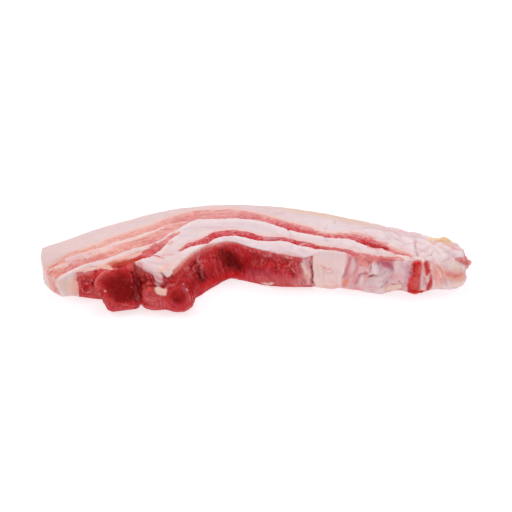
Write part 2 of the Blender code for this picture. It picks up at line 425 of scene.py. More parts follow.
def ramp(x, stops):
    """Colour by tone, through (tone, colour) stops."""
    xs = [s[0] for s in stops]
    return np.stack([np.interp(x, xs, [s[1][k] for s in stops]) for k in range(3)], -1)


LEAN_STOPS = ((0.0, linear(238, 196, 190)), (0.22, linear(234, 172, 166)), (0.42, linear(222, 139, 140)),
              (0.60, linear(211, 93, 100)), (0.78, linear(196, 42, 49)), (0.90, linear(156, 12, 16)),
              (1.0, linear(112, 4, 6)))


def cells3(x, y, z, seed=0):
    """Distance to the nearest and second nearest of scattered points."""
    ix, iy, iz = np.floor(x), np.floor(y), np.floor(z)
    one = np.full(x.shape, 9.0)
    two = np.full(x.shape, 9.0)
    for dx in (-1, 0, 1):
        for dy in (-1, 0, 1):
            for dz in (-1, 0, 1):
                cx, cy, cz = ix + dx, iy + dy, iz + dz
                h = (cx.astype(np.int64).astype(np.uint32) * np.uint32(374761393)
                     + cy.astype(np.int64).astype(np.uint32) * np.uint32(668265263)
                     + cz.astype(np.int64).astype(np.uint32) * np.uint32(2246822519)
                     + np.uint32(seed * 7919 + 13))
                h = (h ^ (h >> np.uint32(13))) * np.uint32(1274126177)
                h = (h ^ (h >> np.uint32(16))) * np.uint32(2654435761)
                h = h ^ (h >> np.uint32(15))
                px = cx + 0.15 + 0.7 * (h & np.uint32(1023)) / 1023.0
                py = cy + 0.15 + 0.7 * ((h >> np.uint32(10)) & np.uint32(1023)) / 1023.0
                pz = cz + 0.15 + 0.7 * ((h >> np.uint32(20)) & np.uint32(1023)) / 1023.0
                d = np.sqrt((px - x) ** 2 + (py - y) ** 2 + (pz - z) ** 2)
                two = np.minimum(two, np.maximum(one, d))
                one = np.minimum(one, d)
    return one, two


# Drawn features of this slice: colour, strength, softness, lean (+1 makes
# lean, -1 makes fat), depth of the groove in mm (less than 0: a ridge), then
# the line's points as x, y, z and half width, all in mm. Some are painted
# light: the dark colour of marks in grooves, cracks, creases and hollows is
# painted shade, pale rims and glints are painted highlights and edge light,
# and lighter bands along the foot of the lean are a painted glow.
MARKS = (
    # left end: ridge of fat, the facet below it, the layers on the end
    ("greyfat", 0.9, 0.5, -1, 0, ((-123.6, -29.5, 10.2, 4.4), (-119.4, -28.1, 7.7, 4.4))),
    ("cream", 0.5, 1, 0, 0, ((-118.3, -27.6, 15.8, 1.9), (-116.7, -27.9, 9.9, 2.2),
        # painted glow: the facet goes cream, peach and orange towards the red muscle beside it, the lean shining
        # through the fat
        (-119.1, -27.9, 3.0, 1.9))),
    ("peach", 0.6, 1, 0, 0, ((-116.1, -27.8, 13.6, 1.6), (-116.2, -27.9, 3.8, 1.9))),
    ("orange", 0.3, 1, 0, 0, ((-114.5, -28.0, 13.0, 1.8), (-114.7, -28.1, 7.8, 2.1),
        (-114.9, -28.1, 2.4, 1.9))),
    ("peach", 0.5, 1, -1, -0.2, ((-115.2, -25.4, 18.5, 1.0), (-109.3, -26.7, 19.7, 1.4),
        (-102.8, -26.9, 21.4, 1.1))),
    ("cream", 0.8, 0.8, 0, 0, ((-124.3, -28.6, 1.1, 0.6), (-114.8, -28.0, 0.0, 0.6))),
    ("bright", 0.8, 0.8, -1, -0.7, ((-125.2, -29.3, 14.2, 0.7), (-119.6, -26.8, 16.8, 0.9),
        (-112.0, -24.6, 19.5, 1.0), (-105.7, -23.1, 21.6, 1.1))),
    ("white", 0.8, 0.7, -1, -0.4, ((-105.6, -23.5, 21.5, 1.4), (-99.2, -22.8, 23.3, 1.5),
        (-91.7, -20.0, 24.9, 1.4), (-83.8, -14.7, 25.0, 1.3), (-74.5, -10.4, 25.0, 1.0))),
    ("peach", 0.65, 1, -1, 0, ((-97.0, -26.1, 23.1, 0.8), (-91.4, -24.5, 24.7, 1.2),
        (-83.4, -19.9, 25.0, 1.4), (-77.9, -16.1, 25.0, 1.3), (-73.4, -12.5, 25.0, 0.8))),
    ("rust", 0.75, 1, 0, 0.3, ((-95.0, -27.0, 23.3, 0.8), (-87.5, -25.1, 24.9, 1.6),
        (-80.2, -21.0, 25.0, 1.4), (-73.4, -17.3, 25.0, 0.8))),
    ("cream", 0.5, 1, 0, 0, ((-138.2, -14.2, 17.9, 0.6), (-139.7, -6.6, 5.4, 0.8),
        (-134.9, -18.2, 3.6, 0.9), (-127.6, -26.5, 2.8, 0.8))),
    ("pink", 0.8, 0.8, 0, 0.3, ((-135.2, -21.6, 16.1, 0.4), (-133.1, -23.3, 11.5, 0.5),
        (-130.0, -25.4, 6.7, 0.6), (-125.8, -28.0, 3.1, 0.5))),
    ("peach", 0.6, 0.9, 0, 0, ((-134.1, -23.2, 16.0, 0.6), (-131.7, -24.9, 11.0, 0.8),
        (-127.9, -27.2, 6.4, 0.6))),
    ("coral", 0.35, 0.8, 0, 0, ((-131.0, -25.5, 10.6, 0.3), (-128.6, -26.8, 6.9, 0.3),
        (-126.1, -28.0, 3.9, 0.3))),
    ("lilac_fat_and_shade", 0.6, 1, -1, 0, ((-129.3, -27.6, 14.3, 0.8), (-127.4, -29.2, 11.5, 0.8))),
    ("orange", 0.8, 0.9, 0, 0.3, ((-135.5, -21.4, 17.1, 0.4), (-131.6, -20.6, 18.7, 0.5),
        (-127.3, -19.1, 19.1, 0.4), (-124.4, -14.9, 20.9, 0.6), (-120.8, -11.7, 22.2, 0.6),
        (-114.6, -9.4, 23.2, 0.6), (-109.4, -8.9, 23.9, 0.5))),
    ("white", 0.9, 0.5, -1, -0.5, ((-121.8, -15.5, 20.8, 0.8), (-116.8, -13.6, 21.8, 1.4),
        (-110.9, -13.9, 22.5, 1.6), (-107.5, -15.9, 22.7, 1.0))),
    ("lilac", 0.7, 0.7, 0, 0.3, ((-122.9, -18.1, 19.6, 0.3), (-118.4, -17.4, 20.3, 0.3),
        (-112.6, -17.6, 21.2, 0.3), (-108.7, -17.7, 22.0, 0.3))),
    ("purple", 0.8, 0.8, 0, 0.5, ((-107.7, -13.7, 23.2, 0.4), (-106.1, -13.3, 23.5, 0.3))),
    ("pink", 0.8, 0.9, 1, 0, ((-132.0, -24.2, 16.6, 1.0), (-126.9, -25.0, 16.2, 1.2),
        (-122.4, -24.2, 17.1, 1.3), (-118.0, -22.3, 18.6, 1.3), (-113.0, -20.5, 20.3, 1.1),
        (-109.2, -18.9, 21.6, 0.9))),
    ("orange", 0.4, 1, 0, 0, ((-128.8, -24.5, 16.4, 0.8), (-124.3, -24.7, 16.6, 0.8))),
    ("pinkfat", 0.7, 0.8, -1, -0.2, ((-133.4, -22.7, 17.6, 0.4), (-127.7, -21.8, 17.8, 0.6),
        (-121.5, -20.0, 18.9, 0.6), (-115.1, -18.2, 20.6, 0.5))),
    ("rose", 0.35, 1, 0, 0, ((-107.2, -20.4, 21.8, 1.0), (-100.9, -17.7, 23.9, 1.3),
        (-92.2, -13.4, 25.0, 1.3))),
    # muscle beside the first lobe, with painted shade in its grooves, painted glints on its ridges and a painted glow
    # along its foot
    ("red", 0.5, 0.8, 1, 0, ((-109.5, -28.7, 12.7, 4.1), (-105.7, -29.7, 9.5, 5.7),
        (-107.3, -29.7, 5.0, 3.8))),
    ("coral", 0.6, 1, 0, 0, ((-112.7, -28.2, 13.1, 0.9), (-113.2, -28.4, 4.1, 1.0))),
    ("dark", 0.7, 1, 0, 0.7, ((-109.3, -28.2, 16.9, 0.6), (-108.8, -28.8, 12.8, 0.8))),
    ("brightred", 0.8, 1, 0, 0, ((-104.2, -29.0, 15.9, 1.6), (-100.5, -32.3, 20.3, 1.3))),
    ("pink", 0.75, 1, 0, 0, ((-114.5, -27.7, 16.2, 1.5), (-109.2, -28.0, 18.0, 1.5),
        (-104.1, -28.4, 18.9, 1.1))),
    ("coral", 0.55, 1, 0, 0, ((-113.9, -28.0, 13.7, 1.4), (-108.7, -28.5, 15.6, 1.4),
        (-104.1, -28.8, 17.3, 1.3))),
    ("brightred", 0.8, 1, 0, 0.4, ((-108.4, -29.2, 8.5, 1.1), (-105.1, -29.8, 9.6, 1.3))),
    ("deep", 0.6, 1, 0, 0.8, ((-105.6, -29.3, 13.4, 0.6), (-103.7, -29.7, 11.8, 0.6))),
    ("dark", 0.7, 1, 0, 0.6, ((-111.2, -28.6, 10.3, 0.6), (-111.2, -28.8, 5.1, 0.6))),
    # painted glints: pale thin lines on the ridges
    ("pink", 0.8, 0.7, 0, -0.5, ((-111.4, -28.7, 6.6, 0.3), (-110.6, -28.9, 4.5, 0.4),
        (-108.0, -29.5, 4.6, 0.4), (-105.3, -30.0, 6.2, 0.4), (-101.1, -41.9, 16.0, 0.4))),
    ("rose", 0.7, 0.8, 0, -0.4, ((-112.3, -28.5, 9.1, 0.4), (-110.1, -28.6, 12.6, 0.4),
        (-108.0, -28.5, 16.0, 0.3))),
    ("rose", 0.6, 0.8, 0, -0.4, ((-107.6, -29.2, 11.5, 0.4), (-105.0, -29.7, 10.7, 0.4),
        (-103.1, -29.9, 11.2, 0.3))),
    # painted glow along the foot of the muscle
    ("rose", 0.6, 1, 0, 0, ((-112.1, -28.6, 1.6, 0.8), (-104.8, -30.4, 2.0, 0.9), (-101.6, -30.9, 1.9, 0.6))),
    ("peach", 0.75, 0.9, -1, -0.4, ((-101.2, -27.2, 21.6, 1.0), (-98.3, -26.9, 22.6, 1.5),
        (-94.4, -27.8, 22.9, 1.4), (-91.0, -29.5, 23.0, 0.8))),
    ("rose", 0.4, 1, 0, 0, ((-100.8, -28.0, 20.9, 0.8), (-99.5, -31.6, 21.0, 0.8), (-98.5, -32.5, 21.5, 0.4))),
    # first lobe: dark cut face, painted shade at its right crease, paler rim of painted edge light, painted glow along
    # its foot
    ("dark", 0.95, 0.9, 1, 0, ((-92.8, -41.3, 19.3, 5.7), (-86.4, -43.3, 17.7, 8.2),
        (-83.4, -44.5, 14.0, 8.2))),
    # painted shade: darker towards the crease at the lobe's right
    ("deep", 0.6, 1, 0, 0.3, ((-87.7, -42.1, 19.2, 5.7), (-84.0, -44.0, 15.9, 5.7))),
    ("deep", 0.75, 1, 0, 0.6, ((-84.0, -41.2, 20.0, 4.4), (-79.6, -42.7, 16.5, 4.4),
        (-79.1, -44.5, 11.0, 3.1))),
    # painted edge light on the lobe's left edge
    ("red", 0.6, 1, 0, 0, ((-97.3, -41.2, 18.6, 1.6), (-95.2, -45.1, 15.1, 1.9), (-92.1, -46.9, 11.0, 1.9))),
    ("brightred", 0.5, 1, 0, 0, ((-97.3, -40.1, 19.3, 0.9), (-94.6, -43.0, 17.5, 1.3))),
    ("red", 0.55, 1, 0, 0, ((-91.9, -35.5, 22.4, 1.4), (-87.5, -34.8, 23.4, 1.6), (-83.0, -34.2, 24.5, 1.6))),
    # painted shade in the crease at the lobe's right
    ("deep", 0.85, 1, 0, 1.3, ((-77.9, -35.4, 23.8, 1.0), (-76.6, -36.0, 16.7, 1.9),
        (-76.1, -41.8, 13.0, 2.0), (-74.7, -42.8, 7.6, 1.3))),
    ("black", 0.55, 1, 0, 0.8, ((-76.5, -37.7, 16.3, 0.6), (-76.1, -41.8, 13.0, 0.9),
        (-75.2, -42.8, 9.8, 0.6))),
    ("rose", 1.7, 1, 0, -0.4, ((-78.5, -35.7, 24.0, 1.0), (-77.9, -38.9, 20.0, 1.3),
        (-77.2, -41.6, 15.8, 1.0))),
    # painted edge light: a paler rim round the lobe's upper left and down its left side, with painted glints
    ("rose", 0.85, 0.8, 1, -0.6, ((-100.6, -40.7, 17.9, 0.8), (-100.0, -37.7, 19.6, 1.1),
        (-97.6, -35.5, 21.2, 1.3), (-94.0, -32.3, 22.6, 1.4), (-89.1, -30.3, 23.5, 1.4),
        (-83.5, -28.4, 24.4, 1.4), (-79.1, -27.0, 25.2, 1.1))),
    ("glint", 0.4, 1, 0, 0, ((-98.3, -34.9, 21.2, 0.5), (-94.1, -30.9, 22.5, 0.6), (-89.8, -28.7, 23.3, 0.5))),
    ("rose", 0.6, 0.9, 1, -0.3, ((-100.6, -40.7, 17.9, 0.7), (-99.4, -43.7, 15.7, 0.6),
        (-96.8, -46.2, 12.8, 0.6), (-95.1, -47.0, 8.8, 0.6), (-93.0, -47.2, 5.2, 0.8))),
    # painted glow: lighter red, magenta and rose bands along the lobe's foot
    ("red", 0.8, 1, 0, 0, ((-91.6, -47.2, 9.7, 1.3), (-86.1, -46.5, 6.6, 1.4), (-79.3, -45.0, 6.0, 1.3),
        (-74.4, -42.9, 5.7, 0.9))),
    ("magenta", 0.8, 0.9, 0, 0, ((-92.5, -47.2, 4.4, 0.8), (-87.6, -46.6, 2.5, 1.0),
        (-81.4, -45.1, 2.3, 1.0), (-75.7, -43.9, 3.7, 0.8))),
    ("rose", 0.7, 0.8, 0, -0.3, ((-84.8, -46.3, 7.6, 0.3), (-80.6, -45.3, 5.0, 0.4),
        (-75.7, -43.9, 4.1, 0.3))),
    ("dark", 0.6, 1, 0, 0, ((-90.2, -46.3, 12.9, 1.6), (-84.1, -45.8, 10.3, 1.8), (-79.2, -45.0, 9.0, 1.3))),
    ("glint", 0.9, 0.6, 0, -0.6, ((-94.5, -44.9, 15.6, 0.7),)),
    ("dark", 0.5, 1, 0, 0.3, ((-86.7, -37.3, 22.8, 1.0), (-82.7, -40.7, 20.5, 1.3))),
    # ragged muscle between the lobes, with painted shade in its dark grooves
    ("red", 0.6, 1, 1, 0, ((-73.4, -30.4, 20.6, 2.5), (-69.5, -32.6, 18.2, 3.8), (-70.5, -38.3, 15.1, 3.1))),
    ("rose", 0.7, 0.9, 1, -0.4, ((-77.7, -28.6, 25.1, 0.6), (-74.6, -29.5, 23.4, 0.9),
        (-70.0, -32.2, 22.9, 0.9), (-66.1, -34.7, 21.5, 0.7))),
    # painted shade in the grooves
    ("deep", 0.8, 1, 0, 0.8, ((-73.7, -30.3, 19.0, 0.6), (-72.9, -30.9, 16.0, 0.6))),
    ("deep", 0.8, 1, 0, 0.8, ((-70.4, -32.0, 19.4, 0.6), (-69.6, -32.6, 16.4, 0.5))),
    ("deep", 0.8, 1, 0, 0.8, ((-70.6, -36.6, 15.2, 0.6), (-68.8, -41.6, 15.0, 0.5))),
    ("deep", 0.7, 1, 0, 0.7, ((-67.2, -34.0, 19.5, 0.5), (-66.2, -35.5, 17.1, 0.5))),
    ("deep", 0.7, 1, 0, 0.6, ((-75.3, -29.4, 21.4, 0.5), (-73.3, -30.4, 21.7, 0.4))),
    ("coral", 0.7, 0.9, 0, -0.5, ((-72.0, -31.1, 20.7, 0.4), (-71.6, -31.5, 14.5, 0.5))),
    ("coral", 0.7, 0.9, 0, -0.5, ((-68.7, -33.0, 21.2, 0.4), (-67.5, -35.0, 16.7, 0.5),
        (-68.2, -38.9, 16.3, 0.4))),
    ("rose", 0.7, 0.9, 0, -0.5, ((-74.6, -30.3, 13.7, 0.4), (-74.1, -30.8, 9.5, 0.4),
        (-72.1, -40.9, 12.3, 0.4))),
    ("coral", 0.6, 0.9, 0, -0.4, ((-65.5, -35.0, 19.8, 0.4), (-64.9, -37.0, 17.3, 0.4))),
    # fat that hangs over the muscle
    ("pinkfat", 0.9, 0.35, -1, -0.9, ((-63.4, -34.9, 25.0, 2.8), (-61.5, -37.4, 22.8, 3.5),
        (-60.8, -37.8, 19.4, 2.9), (-60.7, -38.5, 17.2, 2.0))),
    ("white", 0.6, 0.9, -1, -0.3, ((-62.8, -35.9, 24.8, 1.6), (-60.2, -38.1, 21.8, 1.5))),
    ("greyfat", 0.5, 1, 0, 0, ((-64.1, -35.9, 22.6, 0.9), (-62.6, -36.8, 18.0, 0.9))),
    ("cream", 0.6, 0.8, -1, -0.4, ((-58.3, -36.1, 25.0, 1.3), (-55.1, -38.4, 23.5, 1.4),
        (-53.0, -35.9, 23.8, 1.0))),
    # painted shade in the crack under the hanging fat and below it
    ("dark", 0.8, 1, 1, 1.0, ((-57.4, -39.5, 20.4, 1.1), (-56.2, -39.5, 18.2, 1.1),
        (-57.8, -40.1, 16.4, 0.8))),
    ("brown", 0.9, 0.7, 0, 1.4, ((-59.5, -37.9, 24.7, 0.3), (-57.9, -39.1, 23.7, 0.5),
        (-56.4, -39.4, 21.4, 0.6), (-54.0, -38.2, 20.5, 0.4), (-51.9, -36.1, 20.8, 0.3))),
    ("peach", 0.8, 0.9, 0, 0, ((-52.2, -36.1, 21.6, 0.5), (-49.2, -30.8, 23.1, 0.8),
        (-45.7, -23.1, 23.6, 0.9), (-42.1, -16.3, 24.1, 0.8), (-37.8, -10.4, 24.2, 0.7),
        (-32.2, -5.2, 23.8, 0.6))),
    ("rust", 0.5, 0.9, 0, 0, ((-51.0, -34.8, 21.2, 0.4), (-48.0, -29.3, 22.4, 0.4),
        (-44.5, -21.7, 22.9, 0.4), (-40.9, -15.7, 23.4, 0.4))),
    # second lobe: roll with a hollow painted dark as shade, a patch of fat, painted shade in its crease, painted
    # glints, a painted glow along its foot
    ("rose", 0.35, 1, 1, 0, ((-68.4, -44.3, 12.3, 4.4), (-63.4, -46.3, 8.3, 4.4), (-57.8, -46.1, 7.5, 3.8))),
    ("magenta", 0.35, 1, 0, 0, ((-66.5, -45.8, 9.5, 3.1), (-55.2, -47.2, 8.2, 3.8), (-45.7, -48.6, 7.6, 3.1))),
    # painted shade in the crease between the lobe and the muscle above it
    ("deep", 0.85, 0.9, 0, 1.2, ((-71.8, -39.0, 13.7, 0.6), (-68.6, -39.3, 16.1, 0.7),
        (-64.7, -39.7, 17.0, 0.8), (-62.1, -41.4, 16.4, 0.5))),
    ("cream", 0.95, 0.25, -1, -0.6, ((-62.4, -41.9, 16.1, 1.2), (-60.2, -43.3, 14.8, 2.3),
        (-57.8, -43.9, 13.9, 1.8), (-57.1, -42.7, 15.0, 1.0))),
    ("rose", 0.75, 0.9, 1, -0.6, ((-57.1, -41.5, 15.7, 1.0), (-54.3, -40.0, 16.9, 1.3),
        (-51.1, -41.0, 17.4, 0.9))),
    ("red", 0.7, 1, 0, 0, ((-55.1, -44.1, 14.5, 1.6), (-53.8, -47.3, 11.3, 1.8), (-50.7, -43.7, 16.4, 1.3))),
    # painted shade: the hollow is painted dark, darkest in its middle
    ("dark", 0.75, 1, 0, 0.7, ((-50.6, -46.3, 14.4, 3.5), (-47.5, -47.9, 12.1, 4.1),
        (-45.0, -46.7, 13.1, 2.8))),
    ("deep", 0.9, 1, 0, 1.0, ((-50.3, -48.2, 11.5, 1.6), (-48.1, -48.2, 11.5, 1.5))),
    ("coral", 0.6, 1, 0, -0.5, ((-55.1, -46.4, 11.5, 0.5), (-52.9, -45.2, 14.8, 0.6),
        (-50.7, -43.1, 16.7, 0.5))),
    ("magenta", 0.7, 1, 0, -0.4, ((-45.1, -41.8, 16.7, 1.3), (-42.9, -44.9, 13.5, 1.3),
        (-43.2, -47.3, 9.0, 1.3))),
    ("purple", 0.6, 1, 0, 0, ((-46.3, -42.5, 16.8, 1.0), (-44.4, -43.9, 15.4, 0.9))),
    ("glint", 0.85, 0.8, 0, -0.3, ((-45.7, -39.3, 17.5, 0.4), (-45.0, -40.3, 17.1, 0.4))),
    ("glint", 0.8, 0.8, 0, -0.3, ((-43.3, -42.8, 15.4, 0.6), (-43.0, -43.3, 14.8, 0.5))),
    ("glint", 0.6, 0.8, 0, -0.2, ((-41.6, -44.6, 12.2, 0.4), (-41.5, -44.9, 11.5, 0.4))),
    ("wet", 1, 0.8, 0, 0, ((-46.5, -38.2, 17.8, 0.8), (-43.9, -42.0, 16.1, 0.9), (-42.3, -44.0, 13.7, 0.8))),
    ("dark", 0.8, 1, 0, 0.8, ((-41.9, -36.8, 15.7, 0.9), (-40.2, -40.1, 13.3, 0.9),
        (-39.6, -41.5, 11.2, 0.6))),
    # painted glints: small pale dots
    ("pink", 0.45, 1, 0, -0.3, ((-41.7, -45.2, 11.4, 0.4), (-41.1, -45.5, 8.6, 0.4))),
    ("pink", 0.6, 0.8, 0, -0.3, ((-39.9, -42.8, 10.6, 0.3), (-39.7, -43.3, 7.9, 0.3))),
    # painted glow along the lobe's foot
    ("rose", 0.6, 1, 0, 0, ((-71.9, -42.7, 4.8, 0.6), (-66.8, -45.3, 3.2, 0.9), (-58.0, -44.5, 1.4, 0.9),
        (-47.8, -47.5, 1.9, 0.8), (-42.7, -46.5, 3.9, 0.8), (-39.4, -42.1, 5.2, 0.6))),
    ("coral", 0.4, 1, 0, -0.3, ((-69.1, -44.6, 11.0, 0.5), (-65.9, -45.8, 10.3, 0.6),
        (-64.6, -45.0, 12.8, 0.4))),
    ("dark", 0.5, 1, 0, 0.3, ((-67.1, -44.0, 13.6, 0.6), (-64.3, -45.7, 11.4, 0.6))),
    ("red", 0.6, 1, 0, 0, ((-64.7, -46.2, 7.6, 0.9), (-60.2, -45.9, 10.0, 1.0), (-56.4, -46.1, 10.5, 0.9))),
    # slanting muscle above the second lobe, with painted shade in the dark gap beside the middle muscle and a painted
    # glow along its foot
    ("rose", 0.5, 1, 0, 0, ((-45.6, -26.0, 20.8, 1.3), (-41.5, -18.0, 21.8, 1.5),
        (-35.9, -10.8, 21.8, 1.4), (-29.0, -4.9, 22.0, 1.1))),
    ("dark", 0.6, 1, 0, 0.6, ((-47.9, -33.5, 18.1, 0.8), (-43.2, -26.3, 15.7, 0.9),
        (-40.1, -25.0, 11.8, 0.9))),
    ("dark", 0.6, 1, 0, 0.5, ((-50.1, -41.6, 17.3, 0.6), (-47.2, -36.7, 17.9, 0.8),
        (-43.5, -34.8, 16.7, 0.6))),
    ("red", 0.5, 1, 0, 0, ((-42.0, -22.9, 17.3, 1.9), (-38.3, -22.6, 11.8, 1.6))),
    ("rose", 0.6, 0.9, 0, -0.4, ((-48.9, -33.6, 18.9, 0.4), (-45.6, -27.6, 19.2, 0.5),
        (-42.6, -22.6, 18.7, 0.4))),
    ("rose", 0.5, 0.9, 0, -0.4, ((-44.4, -26.4, 18.0, 0.3), (-41.4, -24.9, 14.0, 0.4),
        (-38.0, -25.0, 8.0, 0.3))),
    ("magenta", 0.6, 0.9, 0, -0.4, ((-46.1, -31.5, 17.2, 0.4), (-41.8, -31.1, 14.3, 0.4),
        (-38.3, -26.8, 6.1, 0.4), (-36.4, -26.6, 2.9, 0.3))),
    ("coral", 0.5, 0.9, 0, -0.3, ((-50.3, -37.5, 18.0, 0.3), (-47.4, -32.3, 18.0, 0.4),
        (-43.8, -27.3, 15.8, 0.3))),
    ("glint", 0.5, 0.8, 0, -0.3, ((-45.6, -26.4, 20.4, 0.3), (-43.2, -23.2, 19.2, 0.4))),
    # painted shade in the dark gap between this muscle and the middle one
    ("deep", 0.7, 1, 0, 0.7, ((-39.0, -16.6, 19.8, 0.9), (-37.1, -17.9, 15.6, 1.5),
        (-35.2, -19.2, 11.1, 1.8), (-33.7, -20.6, 6.7, 1.4))),
    ("black", 0.45, 1, 0, 0.6, ((-37.4, -17.3, 16.8, 0.5), (-35.2, -19.2, 11.1, 0.7),
        (-34.6, -20.6, 8.2, 0.5))),
    ("deep", 0.7, 1, 0, 0.6, ((-32.7, -16.0, 11.4, 0.9), (-31.8, -18.3, 6.7, 0.9))),
    ("dark", 0.7, 1, 0, 0.6, ((-42.0, -21.2, 19.3, 0.6), (-38.9, -21.5, 14.2, 0.9), (-36.4, -22.6, 8.7, 0.8))),
    ("glint", 0.75, 0.8, 0, -0.5, ((-36.4, -11.3, 21.8, 0.3), (-37.3, -14.1, 20.1, 0.4),
        (-36.8, -15.2, 18.1, 0.4), (-35.1, -15.2, 15.8, 0.3), (-35.5, -17.2, 14.0, 0.3),
        (-34.4, -18.1, 11.2, 0.4), (-33.7, -18.9, 9.0, 0.3))),
    ("glint", 0.5, 0.8, 0, -0.3, ((-35.3, -13.8, 17.6, 0.3), (-34.0, -14.6, 15.1, 0.3),
        (-34.0, -17.0, 12.0, 0.3))),
    ("wet", 1, 0.8, 0, 0, ((-37.0, -12.9, 20.9, 0.6), (-35.6, -15.8, 15.8, 0.8), (-34.0, -18.6, 10.0, 0.6))),
    # painted glow along the foot of the muscle
    ("brightred", 0.8, 1, 0, 0, ((-34.0, -22.5, 4.4, 1.4), (-30.8, -19.3, 3.6, 1.8),
        (-27.1, -15.2, 4.0, 1.6))),
    ("brightred", 0.2, 1, 0, 0, ((-30.9, -9.3, 17.8, 3.1), (-26.4, -4.9, 20.4, 3.1),
        (-19.3, -1.6, 21.8, 2.5))),
    ("dark", 0.55, 1, 1, 0, ((-45.8, -39.5, 17.5, 3.8), (-40.3, -38.6, 13.8, 3.8), (-38.9, -25.1, 9.6, 3.1))),
    ("dark", 0.4, 1, 1, 0, ((-36.5, -17.4, 15.3, 3.8), (-31.5, -15.9, 9.8, 3.8), (-28.3, -11.7, 11.7, 2.5))),
    ("dark", 0.3, 1, 1, 0, ((0.2, -10.5, 17.1, 4.4), (-3.7, -7.5, 21.3, 2.5))),
    ("dark", 0.45, 1, 1, 0, ((-84.1, -37.0, 23.3, 2.5), (-79.7, -38.5, 22.1, 2.8), (-77.8, -40.1, 18.6, 2.5))),
    ("rose", 0.5, 1, 0, 0, ((-78.7, -32.2, 25.5, 1.9), (-74.6, -29.6, 22.4, 2.3), (-70.0, -32.1, 23.9, 1.9))),
    ("dark", 0.45, 1, 1, 0, ((-95.4, -40.4, 19.5, 2.5), (-95.9, -43.4, 17.0, 1.9))),
    # painted glow along the bottom edge
    ("magenta", 0.7, 1, 0, 0, ((-37.7, -29.5, 0.0, 0.6), (-34.0, -24.9, 0.1, 0.9),
        (-30.2, -20.4, 0.1, 0.8), (-25.2, -15.4, 0.0, 0.6))),
    ("dark", 0.5, 1, 0, 0.3, ((-41.5, -39.4, 15.1, 0.5), (-37.7, -27.3, 4.1, 0.6))),
    ("rose", 0.5, 0.9, 0, -0.3, ((-39.2, -27.5, 6.6, 0.3), (-37.7, -28.3, 2.5, 0.4))),
    # muscle of the middle: dark hollow of painted shade, upright fibres, painted shade in its cracks, a painted glow
    # along its foot
    ("red", 0.5, 1, 0, 0, ((-31.5, -11.2, 16.0, 2.5), (-28.3, -11.7, 11.7, 2.5))),
    ("brightred", 0.6, 1, 0, 0, ((-32.8, -11.6, 17.0, 1.5), (-30.9, -12.4, 13.7, 1.4))),
    # painted shade: the concave face of the hollow is painted dark, darkest in its middle
    ("dark", 0.55, 1, 0, 0.4, ((-22.6, -5.2, 16.8, 5.0), (-16.8, -4.8, 11.9, 7.6), (-9.6, -6.8, 11.7, 6.3))),
    ("dark", 0.6, 1, 0, 0.3, ((-18.0, -2.8, 18.4, 3.1), (-16.1, -4.3, 13.2, 5.0), (-10.9, -6.8, 9.4, 4.4))),
    ("dark", 0.45, 1, 0, 0.3, ((-39.6, -18.2, 18.9, 3.1), (-35.2, -19.6, 10.6, 3.8))),
    ("deep", 0.7, 1, 0, 0.3, ((-17.4, -3.2, 17.1, 2.2), (-15.5, -4.5, 12.5, 3.8), (-10.9, -6.8, 9.4, 3.1))),
    ("dark", 0.6, 1, 0, 0.3, ((-5.7, -8.3, 14.2, 2.5), (-3.7, -10.1, 10.7, 2.2))),
    ("coral", 0.6, 0.9, 0, -0.3, ((-27.0, -6.9, 17.8, 0.3), (-26.1, -10.5, 11.0, 0.4),
        (-23.9, -12.6, 3.0, 0.3))),
    ("coral", 0.5, 0.9, 0, -0.3, ((-24.2, -4.1, 20.0, 0.3), (-22.9, -7.3, 12.8, 0.4),
        (-20.4, -8.5, 5.1, 0.3))),
    ("coral", 0.4, 0.9, 0, -0.3, ((-20.9, -2.3, 21.1, 0.3), (-18.7, -5.3, 12.2, 0.3),
        (-17.4, -6.7, 5.5, 0.3))),
    ("deep", 0.6, 0.9, 0, 0.4, ((-25.8, -6.0, 18.1, 0.3), (-24.2, -9.5, 10.3, 0.4), (-22.6, -10.6, 4.8, 0.3))),
    ("deep", 0.6, 0.9, 0, 0.4, ((-22.6, -3.4, 20.2, 0.3), (-20.7, -7.0, 10.2, 0.4), (-19.1, -7.8, 4.6, 0.3))),
    ("deep", 0.6, 0.9, 0, 0.4, ((-29.0, -9.8, 15.1, 0.3), (-28.0, -13.5, 8.3, 0.4), (-26.4, -14.5, 4.3, 0.3))),
    ("brightred", 0.6, 1, 0, 0, ((-28.3, -4.7, 21.8, 0.9), (-23.2, -1.8, 23.5, 1.0),
        (-17.4, -0.5, 23.4, 1.0), (-12.2, -2.1, 21.7, 0.9))),
    ("coral", 0.6, 1, 0, 0, ((-30.9, -6.0, 21.9, 0.5), (-25.1, -2.4, 23.4, 0.6), (-18.0, 0.2, 24.3, 0.6),
        (-12.8, -1.1, 23.4, 0.5), (-6.3, -5.3, 22.6, 0.5))),
    # painted glow: lighter red and rose lines along the foot of the muscle
    ("brightred", 0.9, 1, 0, 0, ((-27.1, -15.5, 3.4, 1.4), (-19.4, -8.3, 3.5, 1.9),
        (-12.2, -7.4, 4.3, 1.9), (-7.7, -9.4, 3.7, 1.4))),
    ("rose", 0.8, 0.9, 0, 0, ((-23.9, -13.8, 0.0, 0.5), (-18.1, -8.3, 0.0, 0.8), (-13.6, -7.4, 0.8, 0.9),
        (-6.4, -10.3, 1.1, 0.6))),
    ("magenta", 0.6, 1, 0, 0, ((-7.7, -9.2, 4.7, 1.5), (-1.1, -12.0, 5.0, 2.1), (7.9, -15.3, 7.1, 2.4),
        (18.9, -17.6, 8.6, 2.0))),
    ("purple", 0.3, 1, 0, 0, ((-2.4, -11.1, 8.3, 1.9), (7.9, -15.0, 10.7, 2.0))),
    ("brightred", 0.75, 1, 0, 0, ((4.0, -12.8, 15.1, 1.3), (9.2, -14.4, 16.5, 1.5), (13.0, -15.7, 16.5, 1.1))),
